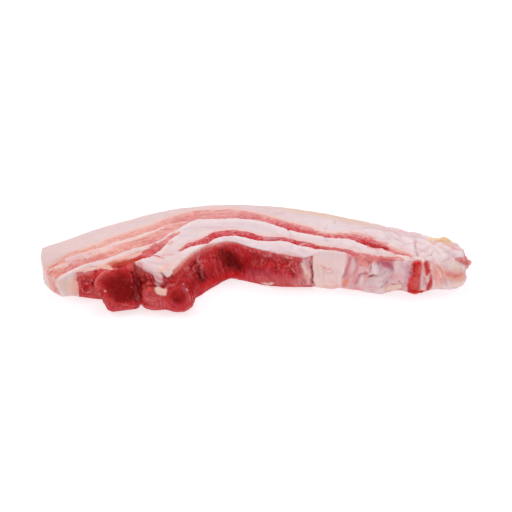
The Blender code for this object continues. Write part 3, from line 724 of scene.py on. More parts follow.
    ("brightred", 0.8, 1, 0, 0, ((14.9, -16.2, 17.2, 1.1), (20.1, -17.5, 17.3, 1.1))),
    ("brightred", 0.7, 1, 0, 0, ((23.3, -18.2, 17.7, 0.8), (26.5, -18.9, 17.4, 0.8))),
    ("dark", 0.6, 1, 0, 0.4, ((-1.1, -9.0, 20.7, 0.8), (4.0, -11.8, 19.0, 0.8), (9.2, -13.6, 20.5, 0.8))),
    ("rose", 0.7, 0.9, 0, -0.5, ((3.4, -12.3, 15.9, 0.6), (4.7, -12.1, 18.9, 0.9), (6.3, -12.2, 21.2, 0.8))),
    ("deep", 0.8, 0.9, 0, 0.7, ((5.6, -11.7, 21.8, 0.4), (7.2, -12.2, 22.6, 0.5), (7.1, -12.6, 20.9, 0.3))),
    ("rose", 0.5, 0.9, 0, -0.3, ((0.8, -11.4, 14.4, 0.3), (4.0, -12.8, 14.9, 0.3))),
    # painted shade in the cracks between the strands
    ("deep", 0.75, 0.9, 0, 0.8, ((11.4, -13.5, 23.9, 0.4), (12.6, -15.0, 19.9, 0.4),
        (13.0, -15.9, 15.2, 0.4), (13.1, -16.4, 10.1, 0.3))),
    ("dark", 0.8, 0.9, 0, 0.7, ((13.4, -16.1, 14.5, 0.3), (16.3, -17.2, 9.5, 0.5), (19.9, -17.5, 3.5, 0.4))),
    ("dark", 0.8, 0.9, 0, 0.7, ((17.1, -15.6, 23.7, 0.5), (19.4, -16.9, 21.1, 0.6), (20.7, -17.5, 18.5, 0.4))),
    ("dark", 0.8, 0.9, 0, 0.7, ((20.7, -17.7, 16.3, 0.4), (24.0, -18.4, 11.4, 0.6), (27.0, -18.0, 4.2, 0.4))),
    ("deep", 0.6, 0.9, 0, 0.4, ((22.3, -18.2, 13.9, 0.5), (24.9, -18.5, 11.5, 0.6))),
    ("dark", 0.7, 0.9, 0, 0.5, ((8.9, -15.5, 8.0, 0.3), (12.5, -16.4, 3.2, 0.4))),
    ("dark", 0.6, 0.9, 0, 0.4, ((-2.4, -10.9, 9.7, 0.3), (-0.5, -12.4, 3.7, 0.3))),
    ("dark", 0.6, 0.9, 0, 0.4, ((2.7, -12.9, 11.7, 0.3), (4.4, -14.4, 5.0, 0.3))),
    ("magenta", 0.6, 0.9, 0, -0.4, ((10.8, -15.6, 12.6, 0.4), (13.7, -16.6, 8.7, 0.6),
        (16.3, -17.1, 3.7, 0.4))),
    ("magenta", 0.6, 0.9, 0, -0.4, ((16.3, -17.0, 13.5, 0.5), (19.2, -17.7, 10.2, 0.9),
        (22.8, -17.7, 4.1, 0.5))),
    ("pink", 0.85, 0.8, 0, -0.5, ((24.2, -18.2, 20.9, 0.3), (22.0, -17.7, 19.7, 0.4),
        (21.5, -17.9, 17.1, 0.3), (23.3, -18.3, 14.8, 0.4), (24.9, -18.6, 12.7, 0.3))),
    ("deep", 0.8, 0.9, 0, 0.6, ((21.3, -17.3, 21.7, 0.4), (23.5, -18.0, 21.8, 0.4), (24.8, -18.2, 22.7, 0.3))),
    ("pink", 0.6, 0.8, 0, -0.3, ((13.0, -16.2, 12.8, 0.3), (15.0, -16.5, 14.5, 0.3))),
    ("pink", 0.9, 0.5, -1, -0.5, ((4.4, -14.6, 2.6, 0.4), (7.3, -15.5, 2.4, 0.8), (11.2, -16.2, 2.8, 0.6))),
    ("white", 0.6, 0.8, 0, 0, ((5.3, -15.0, 2.6, 0.3), (10.5, -16.1, 3.3, 0.3))),
    # painted glow along the foot
    ("rose", 0.7, 1, 0, 0, ((0.2, -12.7, 0.0, 0.4), (5.4, -15.0, 0.0, 0.5), (15.7, -16.4, 0.1, 0.6),
        (23.5, -17.4, 1.3, 0.6), (30.0, -17.4, 0.9, 0.5), (35.8, -17.3, 1.1, 0.4))),
    ("dark", 0.6, 0.9, 0, 0.4, ((18.3, -17.4, 3.4, 0.4), (21.5, -17.5, 2.4, 0.4))),
    ("rose", 0.75, 0.8, 0, 0, ((25.8, -18.7, 19.2, 0.9), (27.1, -19.0, 14.0, 1.4), (27.9, -18.5, 7.6, 1.3))),
    ("pink", 0.65, 1, 0, -0.3, ((25.3, -18.1, 5.8, 3.1), (30.5, -18.0, 3.5, 3.1))),
    # painted glow: the foot is lighter at the right
    ("rose", 0.5, 1, 0, 0, ((14.4, -16.8, 3.1, 2.2), (22.1, -17.7, 4.0, 2.8))),
    ("pinkfat", 0.75, 0.9, 0, -0.4, ((30.9, -19.4, 21.9, 1.6), (32.9, -18.9, 16.3, 2.8),
        (34.3, -18.2, 9.0, 2.9), (34.7, -17.7, 4.0, 2.1))),
    ("lilac", 1.8, 1, 0, 0.3, ((28.4, -19.3, 18.0, 2.5), (31.0, -19.1, 11.1, 3.8), (31.2, -18.1, 4.3, 2.5))),
    ("magenta", 1.9, 1, 0, 0.2, ((27.1, -19.0, 16.4, 2.5), (29.8, -18.9, 9.4, 3.1))),
    ("magenta", 0.5, 1, 0, 0.2, ((30.4, -19.3, 13.5, 0.8), (31.7, -18.8, 9.4, 0.8), (32.5, -18.0, 4.2, 0.9))),
    ("pinkfat", 0.8, 0.8, -1, -0.4, ((29.9, -19.5, 20.1, 0.6), (31.3, -19.3, 16.9, 0.9),
        (32.8, -18.8, 12.8, 0.7))),
    ("pinkfat", 0.7, 0.9, -1, -0.3, ((33.9, -18.5, 16.1, 0.4), (34.3, -18.3, 10.6, 0.6),
        (34.1, -18.0, 5.8, 0.4))),
    ("cream", 0.6, 0.9, 0, -0.3, ((30.2, -19.5, 20.1, 0.6), (32.2, -19.1, 15.6, 0.8),
        (34.0, -18.4, 9.9, 0.6))),
    ("purple", 1.65, 1, 0, 0.2, ((27.4, -19.1, 16.4, 1.9), (29.1, -19.0, 10.2, 2.4), (30.5, -18.2, 4.3, 1.9))),
    ("magenta", 0.6, 1, 0, 0, ((20.8, -17.8, 6.4, 1.9), (26.0, -18.0, 5.0, 2.1))),
    ("rose", 0.7, 0.9, 0, 0, ((34.4, -18.2, 20.4, 0.6), (35.4, -18.0, 14.2, 0.6), (35.6, -17.7, 4.8, 0.8))),
    ("pinkfat", 0.7, 1, 0, 0, ((34.1, -18.2, 22.7, 1.5), (35.4, -17.8, 18.6, 1.5))),
    # painted shade in the slit at the right of the muscle
    ("dark", 0.85, 0.8, 1, 0.5, ((34.0, -18.3, 21.6, 0.3), (35.5, -17.9, 17.5, 0.4),
        (36.7, -17.6, 12.8, 0.4), (36.6, -17.7, 7.1, 0.4), (37.7, -17.4, 1.9, 0.5))),
    ("deep", 0.5, 0.9, 1, 0.3, ((35.9, -17.7, 16.3, 0.2), (36.7, -17.6, 12.8, 0.3), (36.5, -17.7, 8.6, 0.2))),
    ("coral", 0.7, 0.9, 0, 0, ((36.7, -17.5, 4.7, 0.5), (38.0, -17.4, 1.5, 0.6))),
    ("pink", 0.5, 0.9, 0, -0.3, ((-8.9, -2.7, 24.0, 0.4), (-5.0, -6.1, 23.1, 0.5), (-1.8, -8.5, 21.5, 0.4))),
    ("coral", 0.5, 1, 0, 0, ((-3.7, -7.0, 22.9, 0.9), (4.0, -10.5, 23.3, 0.9), (15.5, -14.7, 24.3, 0.9),
        (28.3, -18.6, 24.3, 0.9))),
    ("pink", 1.35, 1, 0, 0, ((-3.7, -7.3, 21.9, 1.4), (9.2, -13.0, 22.8, 1.5), (28.3, -18.9, 23.9, 1.4))),
    ("deep", 1.5, 1, 0, 0.3, ((-40.8, -21.0, 17.6, 3.8), (-35.8, -21.7, 8.9, 3.8), (-30.8, -16.1, 8.4, 3.1))),
    ("rose", 1.6, 1, 0, -0.3, ((-42.0, -23.8, 16.4, 3.8), (-32.8, -12.0, 16.5, 3.8),
        (-27.0, -6.9, 17.8, 3.1))),
    ("deep", 1.35, 1, 0, 0.3, ((-0.5, -9.9, 18.2, 3.1), (9.2, -13.9, 19.2, 3.8), (22.0, -17.8, 18.6, 3.8),
        (30.2, -19.5, 19.7, 2.5))),
    ("pink", 1.22, 1, 0, -0.2, ((-0.5, -10.6, 15.6, 3.1), (10.4, -14.0, 20.8, 3.1),
        (22.0, -18.1, 14.3, 3.8), (28.4, -19.3, 16.5, 3.1))),
    ("rose", 1.5, 1, 0, -0.3, ((1.5, -13.0, 6.4, 3.1), (12.4, -16.4, 7.0, 3.8), (23.4, -18.2, 8.2, 3.8))),
    ("deep", 1.5, 1, 0, 0.4, ((-109.4, -28.6, 13.4, 3.8), (-104.4, -29.9, 9.7, 4.4))),
    ("rose", 1.7, 1, 0, -0.3, ((-110.2, -28.8, 10.5, 3.8), (-103.6, -29.4, 13.9, 3.8))),
    ("deep", 1.45, 1, 0, 0.4, ((-72.0, -31.1, 21.0, 3.1), (-68.2, -33.6, 16.6, 3.8),
        (-70.5, -38.3, 15.1, 1.9))),
    ("coral", 1.7, 1, 0, -0.4, ((-73.5, -30.6, 17.7, 3.1), (-68.1, -33.4, 19.5, 3.1),
        (-71.2, -37.5, 14.6, 2.5))),
    ("pink", 1.35, 1, 0, -0.2, ((-67.8, -45.2, 10.7, 3.8), (-60.3, -46.1, 7.5, 3.8))),
    # painted edge light on the first lobe's rim, broken into flecks
    ("rose", 1.5, 1, 0, -0.2, ((-97.9, -41.6, 18.1, 1.9), (-95.3, -46.9, 10.3, 1.9),
        (-88.6, -47.1, 5.8, 2.5), (-79.4, -44.9, 3.6, 1.9))),
    # painted shade in the hollow, broken into flecks
    ("deep", 1.6, 1, 0, 0.3, ((-20.0, -3.2, 18.6, 4.4), (-14.2, -4.8, 12.0, 5.7), (-10.3, -7.5, 7.5, 4.4))),
    # cartilage, with a painted highlight on the ridge at its right and painted shade in the groove beside it
    ("cartilage", 0.9, 0.6, -1, 0, ((40.0, -15.7, 18.8, 2.5), (47.8, -16.5, 14.8, 8.2),
        (46.6, -18.0, 8.0, 5.7))),
    ("white", 0.5, 1, 0, 0, ((38.6, -15.6, 23.3, 1.9), (47.7, -13.8, 22.9, 2.5), (56.6, -15.6, 22.6, 1.9))),
    ("white", 0.4, 1, 0, 0, ((51.6, -16.0, 18.3, 2.5), (52.3, -17.7, 10.9, 1.9))),
    ("greyfat", 0.5, 1, 0, 0, ((39.4, -16.3, 16.9, 1.0), (40.5, -17.1, 9.0, 1.1))),
    ("orange", 0.4, 1, 0, 0.4, ((41.3, -15.7, 16.7, 0.4), (43.6, -15.8, 15.1, 0.8),
        (44.9, -16.6, 12.5, 0.8), (46.9, -17.4, 11.0, 0.6), (49.1, -17.6, 11.9, 0.4))),
    ("bright", 0.5, 0.9, 0, -0.3, ((44.2, -15.6, 16.1, 0.4), (46.2, -16.6, 13.3, 0.4),
        (48.4, -17.2, 12.9, 0.3))),
    ("pink", 0.4, 1, 0, 0.3, ((42.7, -16.1, 14.1, 0.6), (45.2, -16.2, 14.2, 0.8))),
    ("orange", 0.3, 1, 0, 0.2, ((50.0, -17.2, 13.7, 0.5), (50.7, -17.9, 10.7, 0.5))),
    ("coral", 0.2, 1, 0, 0, ((47.3, -18.2, 7.4, 1.0), (49.9, -18.9, 5.2, 1.0))),
    ("lilac_fat_and_shade", 0.7, 0.9, 0, 0.3, ((43.2, -16.3, 13.1, 0.3), (44.1, -17.8, 5.7, 0.4))),
    ("peach", 0.4, 1, 0, 0, ((44.1, -18.4, 2.1, 1.3), (51.9, -18.8, 1.7, 1.5))),
    ("pink", 0.5, 0.9, 0, 0, ((35.4, -17.5, 22.6, 0.4), (38.6, -15.2, 24.2, 0.4), (41.2, -13.4, 24.6, 0.3))),
    # painted highlight on the ridge and painted shade in the groove beside it
    ("bright", 0.6, 0.9, -1, -1.3, ((58.6, -16.2, 22.5, 0.6), (58.1, -16.9, 18.8, 0.8),
        (55.9, -17.5, 13.1, 0.9), (54.6, -17.9, 7.3, 0.9), (55.2, -18.3, 1.3, 0.8))),
    ("lilac", 0.75, 0.9, -1, 1.4, ((60.4, -16.7, 22.5, 0.5), (59.8, -17.5, 18.4, 0.8),
        (58.0, -17.9, 13.4, 0.9), (56.6, -18.1, 8.9, 0.8))),
    # folds and membranes beside the cartilage; painted shade in the folds, a painted highlight on a thin loop and a
    # painted glow of the lean through the fat
    ("pinkfat", 0.9, 0.8, -1, -0.8, ((62.3, -17.5, 21.9, 0.8), (63.3, -18.6, 18.4, 1.1),
        (62.2, -19.1, 13.4, 1.1), (61.1, -19.3, 7.4, 1.2))),
    # painted glow: an orange spot where the lean shows through the fat
    ("orange", 0.85, 0.9, -1, 0, ((56.3, -18.4, 3.3, 0.8), (57.9, -18.6, 5.4, 1.4), (59.5, -18.9, 6.8, 0.8))),
    ("cream", 0.7, 0.9, -1, 0, ((58.4, -18.8, 1.7, 0.8), (62.8, -20.0, 2.8, 0.9))),
    ("lilac", 0.8, 0.8, 0, 0.9, ((65.1, -18.3, 22.3, 0.3), (64.9, -19.2, 18.0, 0.4),
        (62.9, -19.3, 13.5, 0.5), (61.1, -19.2, 9.6, 0.4))),
    ("pink", 0.85, 0.8, -1, -0.3, ((67.0, -19.1, 21.4, 1.6), (70.2, -20.4, 20.7, 1.9))),
    ("coral", 0.35, 1, 0, 0, ((67.3, -19.1, 22.1, 0.9), (71.1, -20.6, 21.5, 1.0))),
    ("pinkfat", 0.8, 0.9, -1, 0, ((67.4, -20.2, 16.8, 1.3), (70.6, -21.3, 17.4, 1.1))),
    ("white", 0.8, 0.8, -1, -0.6, ((68.6, -21.6, 10.0, 1.6), (67.4, -21.4, 5.7, 2.3))),
    # painted shade in the folds
    ("purple", 0.7, 0.8, 0, 1.0, ((74.3, -21.1, 23.7, 0.3), (73.5, -21.9, 19.7, 0.4),
        (73.3, -22.5, 15.9, 0.4))),
    ("lilac", 0.9, 0.9, 0, 1.2, ((71.3, -22.1, 14.3, 0.5), (67.8, -20.9, 13.5, 0.7),
        (65.7, -20.6, 10.0, 0.8), (64.1, -20.3, 5.0, 0.7))),
    ("purple", 0.6, 0.8, 0, 0.3, ((72.2, -22.4, 14.1, 0.4), (68.1, -21.0, 13.5, 0.4),
        (66.3, -20.7, 11.3, 0.3))),
    # painted highlight: a thin bright loop on the fold
    ("bright", 0.85, 0.7, 0, -0.4, ((67.7, -20.7, 14.4, 0.3), (69.3, -21.1, 15.9, 0.3),
        (71.7, -21.7, 17.1, 0.3), (72.8, -22.3, 16.2, 0.3))),
    ("white", 0.9, 0.4, -1, -1.0, ((75.4, -22.0, 22.0, 1.5), (76.8, -23.0, 18.9, 2.4),
        (75.9, -23.4, 15.7, 2.1))),
    ("grey", 0.5, 1, 0, 0, ((74.9, -22.3, 19.9, 0.8), (74.7, -23.1, 15.2, 0.9))),
    ("brown", 0.95, 0.3, 0, 0.8, ((72.6, -22.9, 11.7, 0.6), (74.8, -23.4, 13.1, 0.4))),
    ("purple", 0.6, 0.8, 0, 0.9, ((76.0, -23.8, 12.9, 0.3), (79.4, -24.2, 14.3, 0.4),
        (83.5, -23.8, 16.7, 0.3))),
    ("grey", 0.75, 1, -1, 0, ((78.3, -24.6, 10.0, 2.3), (83.3, -24.1, 13.5, 2.5))),
    ("pinkfat", 0.5, 1, 0, 0, ((79.3, -23.7, 17.8, 2.5), (84.0, -24.0, 12.7, 2.5))),
    ("white", 0.5, 1, 0, -0.3, ((77.7, -24.5, 9.2, 1.5), (84.5, -23.7, 15.6, 1.4))),
    ("pinkfat", 0.6, 1, 0, -0.4, ((77.6, -24.3, 11.4, 1.0), (81.4, -24.5, 13.0, 1.0))),
    ("lilac", 0.4, 1, 0, 0.3, ((81.5, -24.7, 10.1, 0.9), (84.7, -23.8, 12.6, 0.8))),
    ("lilac", 0.7, 1, -1, 0.3, ((79.8, -22.9, 22.6, 0.9), (81.5, -23.7, 18.6, 0.9))),
    ("purple", 0.75, 1, -1, 0.4, ((81.4, -22.9, 23.0, 1.3), (84.9, -23.1, 22.0, 1.8),
        (86.6, -23.2, 19.4, 0.8))),
    ("purple", 0.65, 1, 0, 0.2, ((79.2, -22.5, 23.5, 1.5), (83.7, -23.2, 21.7, 2.9),
        (86.7, -23.3, 18.3, 1.9))),
    ("magenta", 1.5, 1, 0, 0.1, ((78.6, -21.4, 24.7, 1.9), (83.6, -22.7, 24.0, 2.5),
        (86.8, -23.1, 22.0, 1.9))),
    ("rose", 0.4, 1, 0, 0, ((74.2, -21.5, 22.5, 1.5), (77.9, -22.6, 22.4, 1.5))),
    ("magenta", 0.35, 1, 0, 0, ((81.7, -22.9, 23.3, 1.3), (84.9, -23.2, 21.3, 1.5))),
    ("magenta", 1.7, 1, 0, -0.3, ((81.1, -23.0, 22.7, 1.6), (85.0, -23.3, 20.6, 2.0))),
    ("orange", 0.85, 0.8, 0, 0, ((77.7, -19.9, 25.0, 0.6), (82.3, -22.0, 24.6, 0.8),
        (87.4, -21.7, 24.7, 0.8))),
    ("coral", 0.5, 0.9, 0, 0, ((79.2, -21.7, 24.5, 0.5), (83.6, -22.7, 24.0, 0.5))),
    ("purple", 0.65, 0.9, 0, 0.9, ((87.7, -23.1, 19.7, 0.3), (87.6, -23.2, 14.5, 0.4),
        (85.8, -23.5, 10.4, 0.4), (82.6, -24.6, 7.7, 0.4), (80.1, -24.9, 5.7, 0.3))),
    ("grey", 0.5, 1, 0, 0, ((84.4, -23.6, 17.8, 1.1), (85.9, -23.4, 13.1, 0.9))),
    ("pinkfat", 0.9, 0.6, -1, -0.3, ((71.6, -23.0, 4.4, 1.5), (77.9, -24.8, 4.8, 1.6))),
    ("white", 0.6, 0.8, 0, 0, ((72.3, -23.2, 3.0, 0.6), (77.3, -24.7, 4.0, 0.6))),
    ("coral", 0.6, 0.8, 0, 0.3, ((71.3, -22.8, 4.9, 0.2), (74.1, -23.8, 5.1, 0.3), (78.2, -24.8, 6.0, 0.2))),
    ("coral", 0.5, 0.8, 0, 0.3, ((71.7, -23.0, 2.6, 0.2), (74.8, -24.1, 3.1, 0.3), (78.2, -24.8, 3.9, 0.2))),
    ("pinkfat", 0.9, 0.7, -1, -0.3, ((90.7, -23.0, 21.9, 2.8), (92.5, -23.2, 16.8, 3.8),
        (91.8, -22.7, 11.9, 3.1))),
    ("white", 0.4, 1, 0, 0, ((90.8, -23.0, 18.9, 1.9), (93.0, -23.1, 14.4, 1.6))),
    ("bright", 1.6, 1, 0, -0.3, ((90.1, -23.0, 20.4, 2.8), (93.0, -23.0, 13.6, 3.1))),
    ("lilac", 1.4, 1, 0, 0.2, ((89.7, -23.1, 15.9, 2.5), (93.3, -23.4, 19.2, 2.5))),
    ("cream", 0.85, 0.8, -1, -0.3, ((83.1, -24.3, 3.7, 1.8), (89.1, -22.0, 3.0, 2.5),
        (92.9, -21.9, 4.0, 1.9))),
    ("orange", 0.7, 1, 0, 0, ((82.6, -24.5, 4.6, 0.8), (83.8, -24.2, 7.5, 0.6))),
    ("pink", 0.7, 0.8, 0, 0.4, ((84.2, -24.0, 8.3, 0.3), (88.3, -22.6, 6.4, 0.3), (92.2, -22.1, 6.1, 0.3))),
    ("lilac", 0.75, 1, -1, 0, ((96.4, -23.7, 21.6, 1.3), (97.6, -24.5, 15.3, 1.6), (95.9, -23.1, 7.5, 1.5),
        (94.8, -22.6, 3.3, 1.0))),
    ("purple", 0.7, 0.9, 0, 0, ((98.9, -24.5, 16.5, 0.6),)),
    ("purple", 0.7, 0.9, 0, 0, ((97.7, -24.7, 13.0, 0.5),)),
    ("purple", 0.6, 0.9, 0, 0, ((95.9, -23.1, 7.5, 0.6),)),
    ("purple", 0.6, 0.9, 0, 0, ((97.7, -24.0, 20.3, 0.4),)),
    ("pinkfat", 0.9, 0.8, -1, 0, ((86.8, -23.1, 9.1, 1.6), (90.8, -22.4, 8.2, 2.0), (94.5, -22.9, 8.9, 1.6))),
    ("dark", 0.85, 0.8, 0, 0.5, ((92.3, -22.4, 8.2, 0.6),)),
    # block of red lean and the strips beside it
    ("brightred", 1, 0.5, 1, -0.4, ((102.9, -24.1, 21.8, 3.1), (102.9, -24.8, 17.0, 3.1),
        (101.6, -25.4, 11.3, 3.7), (101.3, -25.4, 6.0, 4.2))),
    ("red", 0.5, 1, 0, 0.4, ((102.2, -24.6, 18.4, 0.5), (102.2, -25.4, 12.1, 0.6), (100.9, -25.2, 6.6, 0.6))),
    ("coral", 0.5, 1, 0, -0.3, ((104.0, -24.4, 20.6, 0.6), (103.6, -25.0, 14.8, 0.6),
        (103.0, -25.1, 8.1, 0.7))),
    ("coral", 0.4, 1, 0, 0, ((100.7, -25.1, 10.4, 1.5), (99.9, -24.9, 6.4, 1.4))),
    ("coral", 0.5, 1, 1, 0, ((103.4, -24.6, 19.9, 2.2), (101.8, -25.2, 12.7, 2.8), (101.5, -25.2, 7.4, 2.5))),
    ("rose", 0.6, 1, 0, 0, ((103.2, -25.4, 11.3, 2.3), (105.4, -24.6, 6.2, 2.3))),
    ("pink", 0.5, 1, 0, 0, ((105.0, -24.5, 19.9, 0.9), (105.8, -24.6, 10.8, 1.0))),
    ("red", 0.75, 1, 0, 0, ((108.3, -23.1, 22.0, 1.4), (109.3, -23.9, 17.2, 1.4))),
    ("magenta", 0.4, 1, 1, 0, ((100.2, -24.3, 21.2, 1.6), (99.2, -24.6, 15.4, 1.6))),
    ("dark", 0.7, 0.9, 0, 0.4, ((101.0, -24.2, 21.9, 0.6), (101.2, -24.4, 16.7, 0.8),
        (100.5, -24.8, 14.0, 0.6))),
    ("purple", 0.6, 0.9, 0, 0, ((100.0, -24.3, 19.7, 0.5), (100.0, -24.7, 14.7, 0.5))),
    ("dark", 0.75, 0.8, 1, 0.8, ((98.1, -23.7, 3.6, 0.4), (101.0, -25.2, 4.2, 0.5), (105.3, -24.4, 4.1, 0.4))),
    ("brightred", 1, 0.6, 1, -0.3, ((98.5, -24.2, 1.9, 0.9), (102.4, -25.2, 2.0, 1.2),
        (106.8, -23.5, 1.8, 1.1))),
    ("pinkfat", 0.9, 0.6, -1, -0.4, ((106.7, -22.9, 22.2, 0.6), (106.7, -24.4, 18.2, 0.8),
        (106.4, -24.5, 11.5, 1.0), (106.4, -24.3, 6.0, 1.0))),
    ("red", 0.9, 0.7, 1, 0.5, ((109.0, -20.6, 22.3, 1.2), (109.5, -24.0, 20.3, 1.6),
        (109.7, -23.4, 14.6, 1.2))),
    ("coral", 0.6, 0.9, 1, 0, ((110.8, -24.2, 19.6, 0.6), (111.1, -23.0, 12.8, 0.6),
        (112.4, -22.7, 8.8, 0.6))),
    ("dark", 0.7, 0.9, 0, 0.3, ((109.0, -22.3, 22.2, 0.4), (109.2, -23.9, 17.2, 0.5))),
    ("coral", 0.7, 0.8, 1, 0, ((107.5, -19.7, 22.9, 0.4), (110.2, -19.7, 22.1, 0.6),
        (111.0, -24.1, 21.1, 0.5))),
    ("pinkfat", 0.9, 0.6, -1, -0.4, ((110.0, -23.1, 12.5, 1.1), (108.8, -23.4, 8.5, 1.9),
        (108.6, -23.0, 4.0, 1.6))),
    ("lilac", 0.5, 0.9, 0, 0.3, ((107.7, -24.0, 12.7, 0.3), (107.6, -23.8, 6.5, 0.4))),
    ("magenta", 0.9, 0.8, 1, 0, ((112.4, -22.9, 10.1, 0.8), (112.2, -21.9, 5.6, 1.5),
        (110.8, -21.8, 2.4, 1.3))),
    ("rose", 0.8, 0.8, 1, 0, ((112.0, -24.1, 18.1, 0.4), (112.0, -23.0, 12.1, 0.5))),
    ("rose", 0.8, 0.8, 1, 0, ((112.7, -21.4, 3.3, 0.6), (109.2, -22.5, 1.0, 0.6))),
    ("pink", 0.7, 0.8, 0, 0, ((97.6, -23.1, 23.5, 0.6), (101.5, -22.4, 23.5, 0.8), (105.5, -20.7, 23.2, 0.6))),
    # soft lobes of the right end
    ("pinkfat", 0.9, 0.8, -1, -0.5, ((113.6, -24.0, 21.1, 2.0), (115.9, -23.9, 14.1, 3.1),
        (118.0, -21.7, 5.9, 3.1))),
    ("pink", 0.6, 1, 0, 0, ((113.1, -24.2, 18.1, 1.0), (115.6, -22.9, 11.2, 1.5), (119.7, -22.5, 7.9, 1.3))),
    ("stain", 0.8, 1, 0, 0, ((115.1, -21.7, 21.1, 1.3), (117.6, -24.0, 18.0, 1.5), (116.8, -21.3, 4.8, 1.5))),
    ("coral", 0.3, 1, 0, 0, ((114.5, -24.0, 16.5, 1.3), (118.9, -22.7, 10.4, 1.0))),
    ("cream", 0.6, 1, 0, 0, ((115.5, -21.2, 4.0, 1.3), (120.6, -22.0, 4.5, 1.9))),
    ("coral", 0.35, 1, 0, 1.1, ((111.6, -20.4, 21.8, 0.4), (115.6, -23.0, 20.7, 0.6),
        (118.8, -24.0, 17.7, 0.7), (120.9, -23.0, 11.3, 0.8), (123.3, -22.9, 5.9, 0.6))),
    ("pinkfat", 0.8, 0.8, -1, -0.6, ((118.3, -21.2, 20.8, 0.8), (121.5, -22.8, 18.0, 1.0),
        (122.5, -22.2, 14.6, 0.6))),
    ("peach", 0.7, 1, -1, 0, ((122.4, -22.2, 15.3, 2.9), (127.9, -21.3, 11.7, 3.8),
        (133.4, -18.6, 10.7, 3.1))),
    ("pink", 0.7, 1, -1, 0, ((123.9, -21.9, 12.9, 2.1), (129.2, -21.5, 10.7, 2.5), (133.4, -19.0, 10.3, 1.9))),
    ("coral", 0.22, 1, 0, 0, ((121.0, -23.3, 15.3, 1.9), (127.2, -21.1, 12.4, 2.8),
        (133.4, -18.6, 10.7, 2.5))),
    ("pinkfat", 1.6, 1, 0, -0.3, ((125.1, -20.5, 16.5, 2.5), (130.6, -18.9, 13.2, 3.1),
        (132.7, -20.4, 8.9, 2.5))),
    ("coral", 0.2, 1, 0, 0.3, ((123.2, -21.8, 14.0, 1.0), (128.6, -21.0, 11.9, 1.4),
        (133.8, -17.7, 11.0, 1.0))),
    ("cream", 0.8, 0.9, -1, -0.3, ((124.9, -23.1, 6.4, 1.6), (129.5, -22.1, 5.8, 1.9),
        (134.0, -19.4, 5.9, 1.5))),
    ("white", 0.8, 0.8, -1, -0.7, ((125.3, -20.1, 18.6, 1.0), (129.1, -17.4, 18.8, 1.6),
        (132.1, -16.1, 14.9, 1.1))),
    ("peach", 0.6, 0.9, 0, 0, ((127.1, -19.8, 16.5, 0.8), (131.3, -18.0, 13.5, 0.8))),
    ("orange", 0.5, 1, 0, 0, ((114.3, -23.9, 16.1, 0.7),)),
    ("orange", 0.5, 1, 0, 0, ((118.6, -22.6, 9.9, 0.8),)),
    ("pink", 0.6, 0.9, 0, 0.5, ((113.1, -23.2, 13.7, 0.3), (116.5, -22.2, 8.5, 0.4),
        (116.2, -21.1, 3.9, 0.3))),
    ("pink", 0.8, 1, 1, -0.3, ((128.4, -16.3, 21.0, 1.0), (133.2, -14.6, 19.7, 1.9),
        (136.9, -12.6, 16.1, 1.6))),
    ("rose", 0.6, 1, 0, 0, ((131.2, -15.9, 19.7, 1.0), (135.2, -13.6, 16.0, 1.5), (137.2, -12.6, 12.3, 1.1))),
    ("coral", 0.6, 1, 0, -0.3, ((132.5, -15.3, 19.3, 0.4), (136.3, -12.7, 16.5, 0.5))),
    ("pink", 0.5, 0.9, 0, -0.3, ((131.8, -14.6, 21.2, 0.5), (136.4, -6.2, 16.3, 0.5))),
    # seams and tints of the cut face, right
    ("pink", 0.7, 1, 0, 0, ((120.6, -3.0, 24.2, 1.0), (127.0, -4.8, 23.0, 1.4), (131.8, -8.2, 23.2, 1.1))),
    ("pink", 0.6, 1, 0, 0, ((90.9, 14.6, 25.0, 0.6), (97.1, 10.1, 25.0, 0.9), (102.7, 6.8, 25.0, 0.6))),
    ("pinkfat", 0.7, 0.9, 0, 0, ((50.6, 27.1, 25.0, 0.5), (59.1, 23.8, 25.0, 0.8), (68.8, 20.3, 25.0, 0.8),
        (79.2, 17.7, 25.0, 0.9), (88.2, 13.9, 25.0, 1.0), (97.5, 7.6, 25.0, 0.9), (107.0, 4.1, 24.8, 0.9),
        (113.2, 0.5, 24.7, 0.8))),
    ("seamfat", 0.33, 1, 0, 0.8, ((52.5, 23.8, 25.0, 0.3), (59.1, 22.9, 25.0, 0.3),
        (68.7, 17.2, 25.0, 0.3), (85.0, 14.8, 25.0, 0.3), (91.2, 10.7, 25.0, 0.3), (95.4, 5.9, 25.0, 0.3),
        (105.2, 5.4, 24.9, 0.3))),
    ("rose", 0.42, 1, 0, 0.7, ((51.8, 27.4, 25.0, 0.3), (52.0, 22.9, 25.0, 0.3))),
    ("rose", 0.3, 1, 0, 0.8, ((47.7, 20.3, 25.0, 0.3), (45.8, 15.2, 25.0, 0.3), (43.4, 10.1, 25.0, 0.3))),
    ("seamfat", 0.36, 1, 0, 1.0, ((20.2, 16.5, 25.0, 0.3), (22.4, 10.1, 25.0, 0.4), (23.3, 3.8, 25.0, 0.3))),
    ("seamfat", 0.36, 1, 0, 1.0, ((44.8, 5.7, 25.0, 0.3), (46.2, -0.6, 25.0, 0.4))),
    ("rose", 0.24, 1, 0, 0, ((45.1, 3.8, 25.0, 0.2), (46.6, 0.1, 25.0, 0.2))),
    ("grey", 0.48, 1, 0, 0.9, ((23.2, -5.5, 25.0, 0.3), (22.2, -11.0, 25.0, 0.3), (22.3, -15.7, 24.9, 0.3))),
    ("rose", 0.27, 1, 0, 0.9, ((87.1, 8.8, 25.0, 0.5), (89.7, 3.8, 25.0, 0.8), (93.6, -0.6, 25.0, 0.5))),
    ("lilac_fat_and_shade", 0.7, 1, 0, 0.4, ((85.0, 6.3, 25.0, 0.8), (87.8, 0.1, 25.0, 0.9))),
    ("rose", 0.39, 1, 0, 1.3, ((103.6, 0.3, 24.9, 0.3), (103.1, -9.2, 24.6, 0.4), (104.0, -16.8, 23.7, 0.4))),
